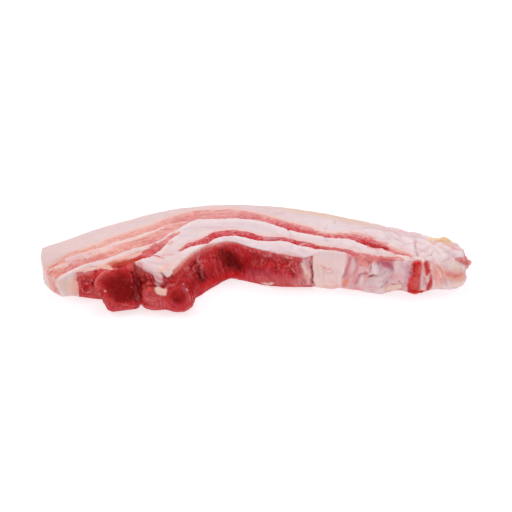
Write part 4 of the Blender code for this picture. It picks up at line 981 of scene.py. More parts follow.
    ("bright", 0.6, 1, -1, -0.4, ((100.6, -2.3, 24.9, 1.4), (100.2, -10.6, 24.7, 1.4))),
    ("seamfat", 0.36, 1, 0, 1.0, ((108.1, -9.9, 23.9, 0.3), (110.1, -16.1, 22.8, 0.4),
        (113.1, -14.2, 23.2, 0.3), (114.8, -10.5, 23.5, 0.3))),
    ("bright", 0.6, 1, -1, -0.5, ((115.5, -16.6, 22.4, 1.9), (120.9, -14.5, 21.9, 1.8))),
    ("bright", 0.5, 1, -1, -0.4, ((109.4, -5.0, 24.3, 1.5), (116.6, -4.6, 24.0, 1.9))),
    ("seamfat", 0.3, 1, 0, 0.8, ((111.3, -21.0, 21.9, 0.3), (117.8, -19.8, 21.2, 0.3),
        (122.5, -17.5, 21.2, 0.3), (126.7, -14.1, 22.0, 0.3))),
    ("seamfat", 0.3, 1, 0, 0.8, ((119.7, -6.4, 23.7, 0.3), (122.5, -11.3, 22.5, 0.3),
        (126.0, -15.0, 21.7, 0.3), (128.8, -15.6, 21.3, 0.3))),
    ("lilac_fat_and_shade", 0.6, 1, 0, 0, ((121.9, -10.1, 22.9, 1.5), (128.1, -12.6, 22.5, 1.6))),
    ("peach", 0.6, 0.9, 0, 0, ((93.2, -21.1, 24.5, 0.4), (98.4, -20.2, 24.2, 0.6), (104.4, -18.2, 23.4, 0.5))),
    ("orange", 0.7, 0.8, 0, 0, ((99.6, -18.2, 24.2, 0.3), (100.8, -19.8, 23.8, 0.4))),
    ("pink", 0.75, 1, 0, 0, ((72.3, -9.3, 25.0, 1.0), (82.4, -12.3, 25.0, 1.8), (89.9, -14.3, 24.9, 2.1),
        (96.9, -16.0, 24.6, 1.9))),
    ("coral", 0.8, 0.8, 1, 0.4, ((84.6, -8.6, 25.0, 0.5), (90.6, -13.4, 24.9, 0.6), (97.6, -18.3, 24.6, 0.4))),
    ("pink", 0.75, 1, 0, 0, ((76.7, -0.7, 25.0, 1.3), (84.3, -3.2, 25.0, 1.9))),
    ("pink", 0.6, 1, 0, 0, ((63.0, 10.7, 25.0, 1.0), (70.7, 7.6, 25.0, 1.4), (77.0, 3.8, 25.0, 1.3))),
    ("peach", 0.6, 1, -1, 0, ((85.4, -5.9, 25.0, 0.6), (92.1, -10.5, 25.0, 0.8), (98.2, -15.1, 24.7, 0.6))),
    ("coral", 0.6, 1, 1, 0, ((68.9, 3.8, 25.0, 0.6), (72.9, 1.3, 25.0, 0.9))),
    ("coral", 0.6, 1, 1, 0, ((74.4, 4.3, 25.0, 0.6), (77.4, 0.6, 25.0, 0.9))),
    ("red", 0.7, 1, 1, 0, ((71.4, -2.4, 25.0, 0.9), (79.1, -4.4, 25.0, 1.2))),
    ("dark", 0.85, 0.8, 1, 0.8, ((69.2, -2.2, 25.0, 0.3), (75.0, -7.4, 25.0, 0.8), (79.5, -7.9, 25.0, 0.8),
        (83.4, -6.4, 25.0, 0.6))),
    ("rust", 0.6, 0.9, 0, 0, ((74.3, -8.1, 25.0, 0.4), (79.4, -8.8, 25.0, 0.4))),
    # seams and tints of the cut face, middle and left
    ("rose", 0.8, 0.8, 1, 0.4, ((-67.5, -20.2, 25.0, 0.3), (-63.0, -19.3, 25.0, 0.5),
        (-58.5, -21.4, 25.0, 0.4))),
    ("coral", 0.6, 0.8, 0, 0.2, ((-59.3, -18.3, 25.0, 0.3), (-56.1, -16.9, 25.0, 0.3),
        (-52.6, -17.1, 25.0, 0.2))),
    ("seamfat", 0.3, 1, 0, 0.7, ((-60.8, -7.4, 25.0, 0.3), (-59.0, -3.9, 25.0, 0.3),
        (-55.4, -5.4, 25.0, 0.3))),
    ("lilac_fat_and_shade", 0.7, 0.9, 0, 0.4, ((-54.9, 10.9, 25.0, 0.3), (-43.2, 15.2, 25.0, 0.4),
        (-33.4, 17.7, 25.0, 0.4), (-20.3, 18.5, 25.0, 0.4), (-10.4, 17.2, 25.0, 0.3))),
    ("greyfat", 0.5, 1, -1, 0, ((-45.6, 8.8, 25.0, 1.3), (-36.6, 13.1, 25.0, 1.3), (-27.5, 15.2, 25.0, 0.9))),
    ("bright", 0.7, 0.9, -1, -0.6, ((-73.1, -11.0, 25.0, 0.5), (-67.0, -6.1, 25.0, 0.7),
        (-62.2, 1.3, 25.0, 0.8), (-57.4, 8.8, 25.0, 0.8), (-51.2, 16.0, 25.0, 0.6))),
    ("seamfat", 0.3, 1, 0, 0.4, ((-89.4, -0.7, 25.0, 0.3), (-81.2, 3.1, 25.0, 0.4), (-73.1, 9.6, 25.0, 0.3))),
    ("lilac_fat_and_shade", 0.6, 1, 0, 0, ((13.5, 35.3, 25.0, 1.3), (18.9, 35.3, 25.0, 1.0))),
    ("lilac_fat_and_shade", 0.5, 1, -1, 0, ((-67.1, -26.7, 25.0, 1.9), (-58.8, -27.9, 25.0, 2.1))),
    ("bright", 0.6, 1, -1, -0.3, ((-46.0, -14.7, 25.0, 1.4), (-39.7, -10.8, 24.9, 1.3),
        (-32.8, -4.3, 24.6, 0.9))),
    ("greyfat", 0.4, 1, 0, 0, ((-53.2, -25.5, 25.0, 1.5), (-48.4, -17.1, 25.0, 1.5))),
    ("rose", 0.7, 0.9, 1, 0.3, ((-15.5, 8.1, 25.0, 0.4), (-7.7, 6.8, 25.0, 0.5), (1.5, 1.9, 25.0, 0.5))),
    ("pink", 0.8, 0.6, -1, -0.4, ((-14.9, 10.1, 25.0, 0.4), (-12.9, 8.8, 25.0, 0.5))),
    ("pinkfat", 0.9, 0.6, -1, -0.3, ((28.3, -2.8, 25.0, 0.2), (31.9, -1.6, 25.0, 0.3),
        (36.5, -1.2, 25.0, 0.2))),
    ("rust", 0.5, 0.9, 0, 0, ((-6.5, 29.1, 25.0, 0.5), (-2.5, 29.4, 25.0, 0.6), (1.5, 28.1, 25.0, 0.4))),
    ("rust", 0.5, 0.9, 1, 0, ((23.8, 15.7, 25.0, 0.5), (32.3, 12.0, 25.0, 0.6), (40.1, 9.6, 25.0, 0.5))),
    ("lilac_fat_and_shade", 0.5, 1, 0, 0, ((6.7, 5.1, 25.0, 1.5), (13.8, 4.3, 25.0, 1.0))),
    ("lilac_fat_and_shade", 0.5, 1, 0, 0, ((28.5, -11.0, 25.0, 1.9), (32.2, -13.5, 25.0, 1.6))),
    # flap of yellow fat behind the right end
    ("yellow", 1, 0.5, -1, 0, ((113.2, 0.9, 24.8, 1.0), (119.2, 7.1, 22.5, 1.8), (124.2, 6.0, 23.2, 2.0),
        (127.2, 5.2, 21.1, 1.1))),
    ("orange", 0.35, 1, 0, 0, ((125.4, 3.8, 21.2, 0.6), (127.3, -1.1, 23.9, 0.5))),
    ("peach", 0.4, 1, 0, 0, ((-60.8, -37.0, 24.8, 2.2), (-56.7, -31.4, 25.0, 2.8), (-53.1, -27.9, 25.0, 2.5))),
    ("peach", 0.45, 1, 0, 0, ((-62.1, -43.1, 15.3, 1.9), (-58.3, -44.1, 13.7, 2.1))),
    ("red", 0.35, 1, 0, 0, ((-63.3, -36.5, 17.8, 1.0), (-58.1, -40.1, 16.4, 1.3))),
    ("rose", 0.55, 1, 1, 0, ((-104.6, -30.2, 6.0, 2.3), (-100.9, -30.9, 3.8, 2.3))),
    ("pink", 0.4, 1, -1, 0, ((86.6, -23.3, 12.2, 2.8), (92.4, -22.9, 12.7, 3.1))),
    ("peach", 0.45, 1, -1, 0, ((114.9, -1.9, 24.3, 1.6), (121.4, 3.3, 21.9, 2.1), (126.5, -3.3, 23.2, 1.9))),
    ("pink", 0.6, 1, 0, 0, ((88.3, -9.8, 25.0, 1.5), (93.8, -13.4, 24.9, 1.9), (98.7, -17.5, 24.5, 1.3))),
    ("pink", 0.35, 1, 0, 0, ((-123.0, -17.4, 19.9, 1.9), (-116.6, -16.6, 20.9, 2.5),
        (-109.0, -13.8, 22.9, 2.5), (-101.4, -11.8, 24.7, 2.2))),
    ("dark", 0.35, 1, 1, 0, ((-64.9, -35.9, 17.4, 1.3), (-58.4, -40.2, 16.4, 1.5))),
    ("pink", 0.5, 1, 0, 0, ((-73.2, -30.3, 23.5, 1.9), (-69.3, -32.6, 23.5, 1.6))),
    ("pinkfat", 0.5, 1, 0, 0, ((30.9, -19.4, 21.2, 1.9), (34.1, -18.2, 23.0, 1.3))),
    ("pink", 0.55, 1, 0, 0, ((59.7, -15.7, 24.3, 0.8), (65.4, -18.2, 23.1, 1.1), (70.4, -20.1, 22.5, 1.1),
        (76.7, -21.8, 23.7, 1.4))),
    ("rose", 0.45, 1, 1, 0, ((101.4, -25.1, 9.6, 1.9), (103.5, -25.1, 5.8, 1.9))),
    ("rose", 0.5, 1, 1, 0, ((1.5, -13.2, 4.2, 2.5), (10.5, -16.0, 5.3, 2.8), (19.5, -17.7, 6.3, 3.1))),
    ("dark", 0.35, 1, 1, 0, ((-3.7, -8.9, 16.1, 3.1), (4.0, -12.7, 15.4, 3.8), (0.2, -11.9, 10.3, 3.1))),
    ("peach", 0.5, 1, 0, 0, ((-46.4, -21.5, 24.8, 1.4), (-49.3, -28.4, 24.6, 1.3), (-52.2, -34.5, 23.9, 1.0))),
    ("coral", 0.5, 1, 0, 0, ((-44.5, -21.4, 23.1, 0.9), (-47.4, -27.8, 22.7, 0.9))),
    ("rose", 0.45, 1, 0, 0, ((-76.0, -7.4, 25.0, 1.5), (-68.5, -1.9, 25.0, 1.6))),
    ("pink", 0.6, 1, 0, 0, ((-91.4, -7.4, 25.0, 1.3), (-84.0, -2.4, 25.0, 1.4))),
    ("pink", 0.6, 1, 0, 0, ((-60.5, -6.7, 25.0, 1.4), (-54.3, -1.8, 25.0, 1.4))),
    ("rose", 0.45, 1, 0, 0, ((106.6, -23.1, 22.0, 0.8), (107.1, -24.3, 16.7, 0.8))),
    ("pink", 0.5, 1, 0, -0.2, ((26.0, -17.9, 4.2, 2.8), (31.1, -18.9, 9.4, 2.5))),
    ("rose", 0.35, 1, 0, 0, ((-76.6, -28.7, 22.5, 2.3), (-70.6, -31.8, 23.0, 2.0))),
    ("red", 0.4, 1, 0, 0, ((-70.9, -31.8, 15.5, 1.9), (-70.5, -39.9, 14.7, 1.9))),
    ("rust", 0.35, 1, 0, 0, ((-89.4, -24.7, 24.9, 1.6), (-83.9, -22.5, 25.0, 1.9), (-78.3, -20.1, 25.0, 1.5))),
    ("rose", 0.3, 1, 0, 0, ((-61.5, -37.4, 21.3, 1.6), (-57.7, -39.4, 20.4, 1.3))),
    ("pink", 0.45, 1, 0, 0, ((71.8, -21.5, 18.7, 1.9), (71.9, -22.5, 12.5, 2.5))),
    ("lilac", 0.4, 1, 0, 0, ((85.1, -23.5, 17.7, 1.9), (88.0, -23.0, 12.1, 2.1))),
    # painted edge light along the first lobe's upper left rim
    ("rose", 0.5, 0.8, 1, -0.3, ((-100.7, -39.8, 18.4, 0.6), (-98.9, -35.9, 20.7, 0.8),
        (-94.6, -32.7, 22.4, 0.8), (-88.4, -31.0, 23.7, 0.8), (-82.1, -29.2, 24.8, 0.8))),
    ("red", 0.5, 1, 0, 0.2, ((-91.2, -27.0, 24.0, 0.6), (-84.9, -25.2, 24.8, 1.0),
        (-78.2, -21.3, 25.0, 1.0), (-72.2, -16.5, 25.0, 0.8))),
    ("dark", 0.45, 1, 1, 0, ((-92.8, -40.7, 19.7, 3.1), (-86.4, -43.7, 17.2, 5.0), (-81.6, -44.4, 13.1, 3.8))),
    # painted shade in the crease at the first lobe's right
    ("black", 0.5, 1, 0, 0.3, ((-77.1, -39.1, 17.9, 0.8), (-76.3, -41.7, 13.6, 1.1),
        (-75.7, -43.3, 10.1, 0.8))),
    ("rose", 0.85, 0.7, 0, -0.4, ((-73.4, -30.5, 18.4, 0.4), (-71.6, -31.5, 15.3, 0.4),
        (-72.8, -34.1, 12.4, 0.4))),
    ("rose", 0.85, 0.7, 0, -0.4, ((-69.4, -32.6, 20.8, 0.4), (-67.5, -33.8, 18.2, 0.4),
        (-68.6, -38.4, 16.3, 0.4))),
    ("pink", 0.7, 0.7, 0, -0.4, ((-65.9, -34.8, 20.0, 0.4), (-66.6, -37.7, 17.0, 0.4))),
    ("rose", 0.8, 0.7, 0, -0.3, ((-76.4, -28.9, 20.8, 0.4), (-73.0, -30.6, 20.3, 0.4))),
    # painted shade: the second lobe's hollow in dark red
    ("red", 0.65, 1, 1, 0, ((-51.3, -46.7, 13.9, 2.3), (-48.1, -47.7, 12.7, 2.8), (-46.2, -46.6, 13.8, 2.1))),
    ("dark", 0.55, 1, 1, 0, ((-51.9, -46.1, 14.3, 2.5), (-48.1, -47.8, 12.4, 3.4), (-45.6, -46.4, 13.7, 2.5))),
    ("stain", 0.5, 1, 0, 0, ((-62.1, -42.8, 15.5, 1.5), (-58.3, -43.9, 13.9, 1.8))),
    ("cream", 0.95, 0.5, -1, -0.5, ((3.9, -14.5, 2.4, 0.4), (7.0, -15.5, 1.9, 0.8), (11.6, -16.3, 3.3, 0.6))),
    ("rose", 0.55, 0.8, 0, 0.2, ((4.3, -14.6, 0.9, 0.3), (7.3, -14.8, 0.2, 0.4), (11.8, -16.3, 1.9, 0.3))),
    ("pink", 0.5, 0.9, 0, -0.3, ((-24.5, -2.4, 23.1, 0.8), (-18.0, -0.5, 23.5, 0.8))),
    ("red", 0.35, 1, 1, 0, ((-26.4, -5.2, 19.9, 2.5), (-20.6, -2.3, 21.1, 2.3), (-12.8, -1.8, 21.6, 2.3))),
    ("dark", 0.45, 1, 1, 0, ((-88.5, -38.4, 22.0, 3.8), (-83.3, -42.3, 18.5, 5.7), (-80.9, -43.9, 14.3, 5.0))),
    ("pinkfat", 0.9, 0.45, -1, 0, ((-74.1, -26.5, 25.0, 0.8), (-70.1, -29.5, 25.0, 1.0),
        (-66.1, -33.1, 25.0, 1.1))),
    ("pinkfat", 0.9, 0.35, -1, -0.3, ((-70.9, -31.3, 24.5, 0.8), (-68.0, -33.3, 24.1, 1.2),
        (-65.4, -35.1, 23.7, 1.3))),
    ("coral", 0.5, 1, 1, 0, ((-76.0, -29.1, 20.5, 1.4), (-72.1, -31.1, 20.0, 1.3))),
    ("coral", 0.45, 1, 1, 0, ((-69.9, -38.5, 15.6, 1.5), (-66.5, -43.1, 14.8, 1.5))),
    ("rust", 0.5, 1, 0, 0, ((-46.2, -26.3, 21.8, 0.8), (-43.9, -21.5, 22.0, 0.9), (-41.5, -17.4, 22.5, 0.8))),
    ("rust", 0.5, 1, 0, 0, ((-88.0, -26.8, 24.3, 0.8), (-84.9, -25.2, 24.8, 1.0), (-81.3, -22.9, 25.0, 0.8))),
    ("rose", 0.45, 1, 0, 0, ((-60.3, -38.1, 21.1, 1.0), (-56.5, -39.6, 19.3, 1.1), (-57.8, -39.5, 17.4, 0.9))),
    ("rose", 0.5, 1, 1, 0, ((-72.4, -13.0, 25.0, 0.8), (-68.1, -8.6, 25.0, 1.1), (-64.5, -3.7, 25.0, 1.0))),
    ("rose", 0.45, 1, 0, 0, ((32.4, -6.1, 25.0, 0.9), (37.5, -8.1, 25.0, 1.1), (42.0, -9.3, 25.0, 0.8))),
    ("rose", 0.6, 0.9, 0, 0, ((83.8, -10.3, 25.0, 0.8), (88.1, -12.5, 25.0, 1.1), (92.5, -14.8, 24.9, 1.0),
        (97.3, -17.9, 24.6, 0.7))),
    ("red", 0.5, 0.9, 0, 0, ((81.8, -20.9, 25.0, 0.8), (86.2, -21.8, 24.8, 1.1), (90.0, -22.1, 24.3, 0.8),
        (92.5, -22.4, 24.1, 0.4))),
    ("rose", 0.5, 0.9, 0, 0, ((73.0, -17.8, 25.0, 0.8), (78.0, -19.8, 25.0, 0.9), (83.0, -20.9, 24.9, 0.8))),
    ("coral", 0.4, 1, 0, 0, ((95.6, -16.0, 24.6, 0.8), (99.3, -17.7, 24.3, 0.8))),
    ("pinkfat", 0.6, 0.9, 0, 0, ((60.9, -19.4, 3.6, 1.6), (65.9, -21.0, 3.5, 1.9), (70.9, -22.7, 4.7, 1.5))),
    ("coral", 0.75, 0.7, 1, 0.2, ((108.3, -22.0, 22.4, 0.9), (109.0, -23.9, 20.2, 1.4),
        (109.4, -23.9, 16.9, 1.3), (109.2, -23.5, 13.9, 0.8))),
    ("rose", 0.7, 0.8, 0, 0.2, ((107.7, -24.0, 12.7, 0.4), (108.3, -23.6, 9.4, 0.6),
        (109.9, -22.5, 5.9, 0.6))),
    ("red", 0.7, 0.8, 0, 0.2, ((112.3, -23.0, 12.8, 0.7), (112.1, -22.8, 8.8, 1.2),
        (111.4, -21.7, 4.3, 1.3), (110.4, -21.9, 2.2, 0.8))),
    ("peach", 0.35, 1, 0, 0, ((113.6, -24.7, 20.0, 1.5), (115.9, -23.9, 14.1, 1.9), (117.0, -21.8, 6.7, 1.6))),
    ("coral", 0.45, 0.8, 0, 0.3, ((112.7, -23.5, 21.5, 0.4), (114.8, -24.1, 17.8, 0.4),
        (116.2, -23.9, 14.2, 0.4))),
    ("pink", 0.6, 0.8, 0, 0.3, ((119.4, -20.9, 20.6, 0.4), (119.9, -23.6, 18.1, 0.6),
        (122.2, -22.4, 14.4, 0.6), (125.9, -21.6, 12.2, 0.6), (130.6, -20.1, 11.7, 0.5),
        (134.3, -16.4, 11.2, 0.5))),
    ("peach", 0.6, 1, 0, 0, ((121.3, -23.0, 12.1, 1.4), (126.6, -22.3, 10.4, 1.8),
        (132.0, -20.5, 10.0, 1.6), (135.3, -16.6, 9.4, 1.0))),
    ("coral", 0.45, 0.9, 0, 0.1, ((121.9, -22.8, 13.0, 0.7), (126.6, -21.9, 11.3, 0.8),
        (131.3, -20.1, 11.1, 0.8))),
    ("cream", 0.7, 0.9, 0, -0.4, ((124.3, -20.6, 18.5, 1.0), (127.7, -18.9, 18.2, 1.6),
        (131.4, -16.5, 15.0, 1.3))),
    ("bright", 0.4, 0.6, 0, -0.4, ((75.2, -22.1, 21.2, 1.4), (76.3, -22.8, 19.2, 2.0),
        (77.1, -23.4, 17.2, 1.6))),
    ("grey", 0.6, 0.9, 0, 0, ((78.1, -23.8, 16.1, 0.8), (78.9, -23.4, 19.2, 0.6))),
    ("brown", 0.75, 0.8, 0, 0.8, ((72.3, -22.7, 12.0, 0.5), (73.8, -23.1, 13.1, 0.7),
        (75.4, -23.5, 13.8, 0.5), (78.2, -24.1, 14.4, 0.3))),
    ("lilac", 0.4, 1, 0, 0.2, ((78.9, -22.8, 22.2, 1.0), (80.3, -23.6, 19.2, 1.1), (79.6, -24.1, 15.8, 0.9))),
    ("greyfat", 0.5, 1, 0, 0, ((76.9, -23.8, 14.6, 1.0), (80.7, -24.2, 15.1, 1.1))),
    ("rust", 0.45, 1, 0, 0, ((-48.0, -30.1, 21.5, 0.8), (-45.1, -23.7, 21.9, 0.9),
        (-42.1, -18.4, 22.3, 0.9), (-38.4, -12.7, 23.0, 0.8))),
    ("coral", 0.4, 1, 1, 0, ((-75.4, -29.5, 19.3, 1.6), (-72.1, -31.2, 18.1, 1.4))),
    ("rust", 0.35, 1, 0, 0, ((-53.9, -37.9, 21.9, 0.9), (-51.6, -35.5, 21.2, 1.1), (-49.8, -32.9, 21.7, 0.9))),
    ("rose", 0.4, 1, 0, 0, ((18.1, -13.9, 25.0, 0.8), (21.9, -15.1, 25.0, 0.9), (25.8, -16.1, 25.0, 0.8))),
    ("peach", 0.4, 1, 0, 0, ((18.1, -16.2, 22.9, 0.9), (23.2, -17.8, 22.7, 1.0))),
    ("rose", 0.4, 1, 0, 0, ((-119.6, -19.5, 19.4, 0.8), (-115.8, -18.1, 20.5, 0.9),
        (-112.6, -16.9, 21.4, 0.8))),
    ("rose", 0.4, 1, 0, 0, ((35.5, -10.5, 25.0, 0.8), (40.0, -11.8, 25.0, 0.9))),
    ("stain", 0.55, 0.9, 0, -0.2, ((29.6, -19.5, 18.9, 1.1), (31.6, -19.2, 14.2, 2.0),
        (33.0, -18.5, 8.7, 1.9), (34.1, -17.9, 4.9, 1.1))),
    ("dark", 0.8, 0.6, 0, 0.5, ((35.2, -17.8, 19.9, 0.3), (36.1, -17.7, 15.2, 0.4),
        (36.9, -17.6, 9.8, 0.4), (36.8, -17.5, 3.9, 0.4))),
    ("bright", 0.28, 1, 0, 0, ((40.6, -14.7, 22.8, 2.8), (47.1, -15.2, 18.5, 5.0),
        (50.3, -17.2, 13.7, 5.0), (47.9, -18.3, 7.5, 3.8))),
    ("coral", 0.6, 0.9, 0, 0.1, ((43.3, -15.7, 15.5, 0.3), (45.0, -16.3, 13.9, 0.4),
        (46.9, -16.7, 13.4, 0.3))),
    ("coral", 0.5, 0.9, 0, 0.1, ((47.8, -16.7, 14.1, 0.4), (49.5, -17.6, 12.1, 0.4),
        (48.1, -17.6, 10.9, 0.3))),
    ("red", 0.45, 0.9, 1, 0.2, ((-10.5, 27.8, 25.0, 0.6), (-3.2, 27.3, 25.0, 0.8), (4.1, 25.2, 25.0, 0.8),
        (9.4, 21.6, 25.0, 0.8))),
    ("red", 0.4, 1, 1, 0, ((11.4, 21.9, 25.0, 0.9), (17.3, 17.7, 25.0, 1.1), (23.8, 14.4, 25.0, 0.9),
        (31.7, 12.6, 25.0, 0.7))),
    # painted shade in the hollow of the middle muscle
    ("deep", 0.45, 1, 1, 0, ((-21.9, -3.5, 19.5, 1.6), (-19.3, -4.6, 14.9, 1.9), (-17.4, -5.7, 9.4, 1.9))),
    ("deep", 0.7, 0.8, 0, 0.4, ((-24.1, -3.9, 20.3, 0.3), (-22.6, -6.3, 14.4, 0.4))),
    ("deep", 0.7, 0.8, 0, 0.4, ((-21.6, -2.8, 20.7, 0.3), (-20.0, -5.7, 12.5, 0.4))),
    ("coral", 0.45, 0.8, 0, -0.2, ((-22.9, -3.9, 19.5, 0.3), (-21.4, -5.8, 14.1, 0.3))),
    # painted shade in the dark gap between the slanting and the middle muscle
    ("black", 0.65, 0.9, 0, 0.4, ((-38.3, -18.9, 16.3, 0.5), (-36.1, -19.1, 12.6, 0.8),
        (-33.7, -19.5, 8.3, 0.7))),
    ("red", 0.6, 0.8, 1, 0, ((108.0, -23.1, 22.0, 0.9), (109.5, -23.9, 19.5, 1.4), (110.3, -23.6, 16.2, 1.1))),
    ("rose", 0.5, 1, 0, -0.5, ((-75.3, -29.4, 21.1, 1.4), (-72.1, -31.1, 19.7, 1.3))),
)



def stroke(p, n, points):
    """Vertices near a drawn line: their index, distance and the line's width."""
    pts = np.array(points, float)
    reach = 1.6 * pts[:, 3].max() + 1.0
    near = np.nonzero(((p > pts[:, :3].min(0) - reach) & (p < pts[:, :3].max(0) + reach)).all(1))[0]
    q, m = p[near], n[near]
    best = np.full(len(near), 1e9)
    width = np.ones(len(near))
    pairs = [(pts[i], pts[i + 1]) for i in range(len(pts) - 1)] or [(pts[0], pts[0])]
    for a, b in pairs:
        run = b[:3] - a[:3]
        w = np.clip(((q - a[:3]) @ run) / (run @ run + 1e-9), 0, 1)
        gap = q - a[:3] - w[:, None] * run
        off = (gap * m).sum(1)
        d = np.sqrt(np.maximum((gap * gap).sum(1) - 0.85 * off * off, 0.0))
        local = a[3] + (b[3] - a[3]) * w
        closer = d - local < best - width
        best = np.where(closer, d, best)
        width = np.where(closer, local, width)
    return near, best, width


def finish_of(p, n):
    """Colours, lean depth, wetness, fibre place and relief of each vertex."""
    phi, t = strip(p)
    x, y, z = p.T
    up = np.clip(z / 25.0, 0.0, 1.0)
    s = np.radians(phi) * (BEND - 30.0)
    rad = np.stack([x - CX, y - CY], -1)
    rad /= np.linalg.norm(rad, axis=1)[:, None]
    out = (n[:, :2] * rad).sum(1)
    top_face = step(0.35, 0.8, n[:, 2])
    under = step(0.5, 0.9, -n[:, 2])
    big = fbm(s / 15.0, t / 8.0, z / 12.0, 2, 21)
    fine = fbm(s / 4.0, t / 2.6, z / 4.0, 3, 23)
    wob = (1 - up) * 3.0 * fbm(s / 26.0, z / 14.0, 0.0 * z, 2, 29)
    tw = t + wob + 0.6 * fbm(s / 6.5, t / 9.0, z / 6.0, 2, 31) + 0.45 * noise(s / 2.4, t / 3.0, z / 3.0, 33)
    lift = np.zeros(len(p))

    fat = np.tile(INK["white"], (len(p), 1))
    speck = noise(s / 1.7, t / 1.25, z / 1.5, 49)
    patch = fbm(s / 7.0, t / 4.5, z / 7.0, 2, 53)
    fat = paint(fat, 0.65 * step(-0.2, 0.6, big), INK["lilac_fat_and_shade"])
    fat = paint(fat, 0.6 * step(0.0, 0.6, fine), INK["pinkfat"])
    fat = paint(fat, 0.6 * step(0.05, 0.6, patch), INK["bright"])
    outer = step(-1.0, 1.0, tw - BANDS[0][0](phi))
    fat = paint(fat, 0.85 * outer * step(18.0, 2.0, phi), INK["outer"])
    fat = paint(fat, 0.5 * outer * step(6.0, 16.0, phi) * step(-0.3, 0.5, big), INK["bright"])

    # the bands of lean on the cut faces
    lean_d = np.full(len(p), -6.0)
    tone = np.zeros(len(p))
    low = np.zeros(len(p))
    fleck = fbm(s / 5.5, t / 1.3, z / 5.0, 2, 35)
    one, two = cells3(s / 3.6, t / 1.9, z / 3.2, 5)
    web = step(0.24, 0.04, two - one) * step(-0.3, 0.3, noise(s / 2.6, t / 2.2, z / 2.4, 47))
    tw = tw + 0.45 * speck
    for number, (back, front, dark, depth, first, last) in enumerate(BANDS):
        tb, tf = back(phi), front(phi)
        width = tb - tf
        tf = tf - step(0.0, 1.5, width) * (0.45 + 0.45 * depth(phi))
        tb = tb + (0.0, 0.0, 0.4, 0.7)[number] * step(0.0, 1.5, width)
        width = tb - tf
        d = np.minimum(tb - tw, tw - tf)
        d = np.minimum(d, (phi - first) * 2.2)
        d = np.minimum(d, (last - phi) * 2.2)
        share = np.clip((tb - tw) / np.maximum(width, 0.3), 0, 1)
        rise = step(-0.15, 0.55, share + 0.25 * fine)
        least = (0.45, 0.65, 0.85, 0.80)[number]
        local = dark(phi) * (least + (1.05 - least) * rise) + 0.22 * dark(phi) * step(0.62, 0.95, share)
        local = local + 0.20 * fine + (0.10 + 0.12 * dark(phi)) * speck - 0.22 * dark(phi) * web
        d = d - 2.2 * np.maximum(fleck - 0.18, 0.0) * step(0.95, 0.5, share)
        take = d > lean_d
        tone = np.where(take, local, tone)
        lean_d = np.maximum(lean_d, d)
        live = step(0.0, 1.2, width) * step(first - 0.5, first + 1.5, phi) * step(last + 0.5, last - 1.5, phi)
        stain = live * step(tb + 4.4, tb, tw + 1.2 * fine) * step(tf - 1.6, tf, tw)
        fat = paint(fat, (0.62 + 0.25 * big) * stain, INK["stain"])
        # painted highlight: the fat crest just in front of each band's rib-side edge is painted bright, more so higher
        # up
        crest_highlight = live * step(tf + 0.3, tf - 0.5, tw) * step(tf - 5.0, tf - 1.0, tw)
        fat = paint(fat, 0.6 * crest_highlight * up, INK["bright"])
        behind = step(tb + 3.5, tf + 0.6, tw)
        ahead = step(tf - 0.95, tf + 0.45, tw)
        low = low + 1.3 * depth(phi) * live * (1.15 * behind * ahead - 0.5 * step(tf + 0.25, tf - 0.9, tw)
                                         * step(tf - 6.5, tf - 1.4, tw))
    lift = lift - low * top_face + 0.3 * np.minimum(-low, 0) * under

    # lean of the rib side: everything outside the fat's front edge
    edge = (FRONT_TOP(phi) + 1.0 + 0.6 * fine - t) + np.minimum((23.2 + 0.6 * big - z) * 0.75, 1.8)
    first, second = lobes(p)
    in_lobe = 0.8 - np.minimum(first, second) - 0.8 * np.maximum(y + 28.0, 0.0)
    muscle = step(-44.6, -44.2, phi) * step(17.1, 16.8, phi)
    rib = np.maximum(np.where(muscle > 0.5, edge, -6.0), in_lobe)
    take = rib > lean_d
    inner = np.clip(rib, 0.0, 3.0) / 3.0
    sway = 1.8 * fbm(s / 12.0, z / 11.0, t / 12.0, 2, 40)
    bundles = fbm((s + sway) / 4.6 + 0.12 * z, t / 9.0, z / 13.0, 2, 41)
    strands = noise((s + sway) / 1.5 + 0.28 * z, t / 4.0, z / 6.0, 43)
    blots = fbm(s / 5.0, z / 4.0, t / 5.0, 2, 45)
    one, two = cells3(s / 3.0, z / 3.4, t / 3.2, 7)
    rag = (0.28 + 0.60 * np.clip(step(-36.5, -38.5, phi) + step(-82.0, -78.0, x) * step(-60.0, -64.0, x)
                                 + 0.5 * step(0.0, 14.0, x), 0, 1))
    film = rag * step(0.26, 0.05, two - one) * step(-0.35, 0.3, noise(s / 2.4, z / 2.4, t / 2.4, 57))
    rib_tone = 0.79 + 0.08 * big + 0.09 * bundles - 0.06 * strands + 0.11 * blots
    rib_tone = rib_tone + 0.10 * rag * noise(s / 1.5, z / 1.7, t / 1.6, 59) + 0.10 * rag * (one - 0.45) - 0.15 * film
    along = FRONT_TOP(phi) + 1.0 - t + (24.0 - z) * 0.9 + 1.5 * fine
    edge_left = step(-3.0, -8.0, phi) * step(-24.0, -20.0, phi)
    # painted glow: the lean is lighter towards the bottom edge; it is also paler where it meets the fat near the top
    rib_tone = rib_tone - 0.10 * step(6.5, 1.0, z) - (0.08 + 0.10 * edge_left) * step(1.0, 0.0, inner) * step(16, 24, z)
    rib_tone = rib_tone - 0.34 * edge_left * step(8.0, 0.5, along) - 0.07 * step(7.0, 1.0, along)
    tone = np.where(take, rib_tone, tone)
    lean_d = np.maximum(lean_d, rib)
    on_rib = step(0.0, 1.5, rib) * (1 - top_face) * (1 - under)
    lift = lift + on_rib * (0.65 * bundles + 0.22 * strands + 0.5 * blots + 0.5 * rag * (0.5 - one) - 0.25 * film)

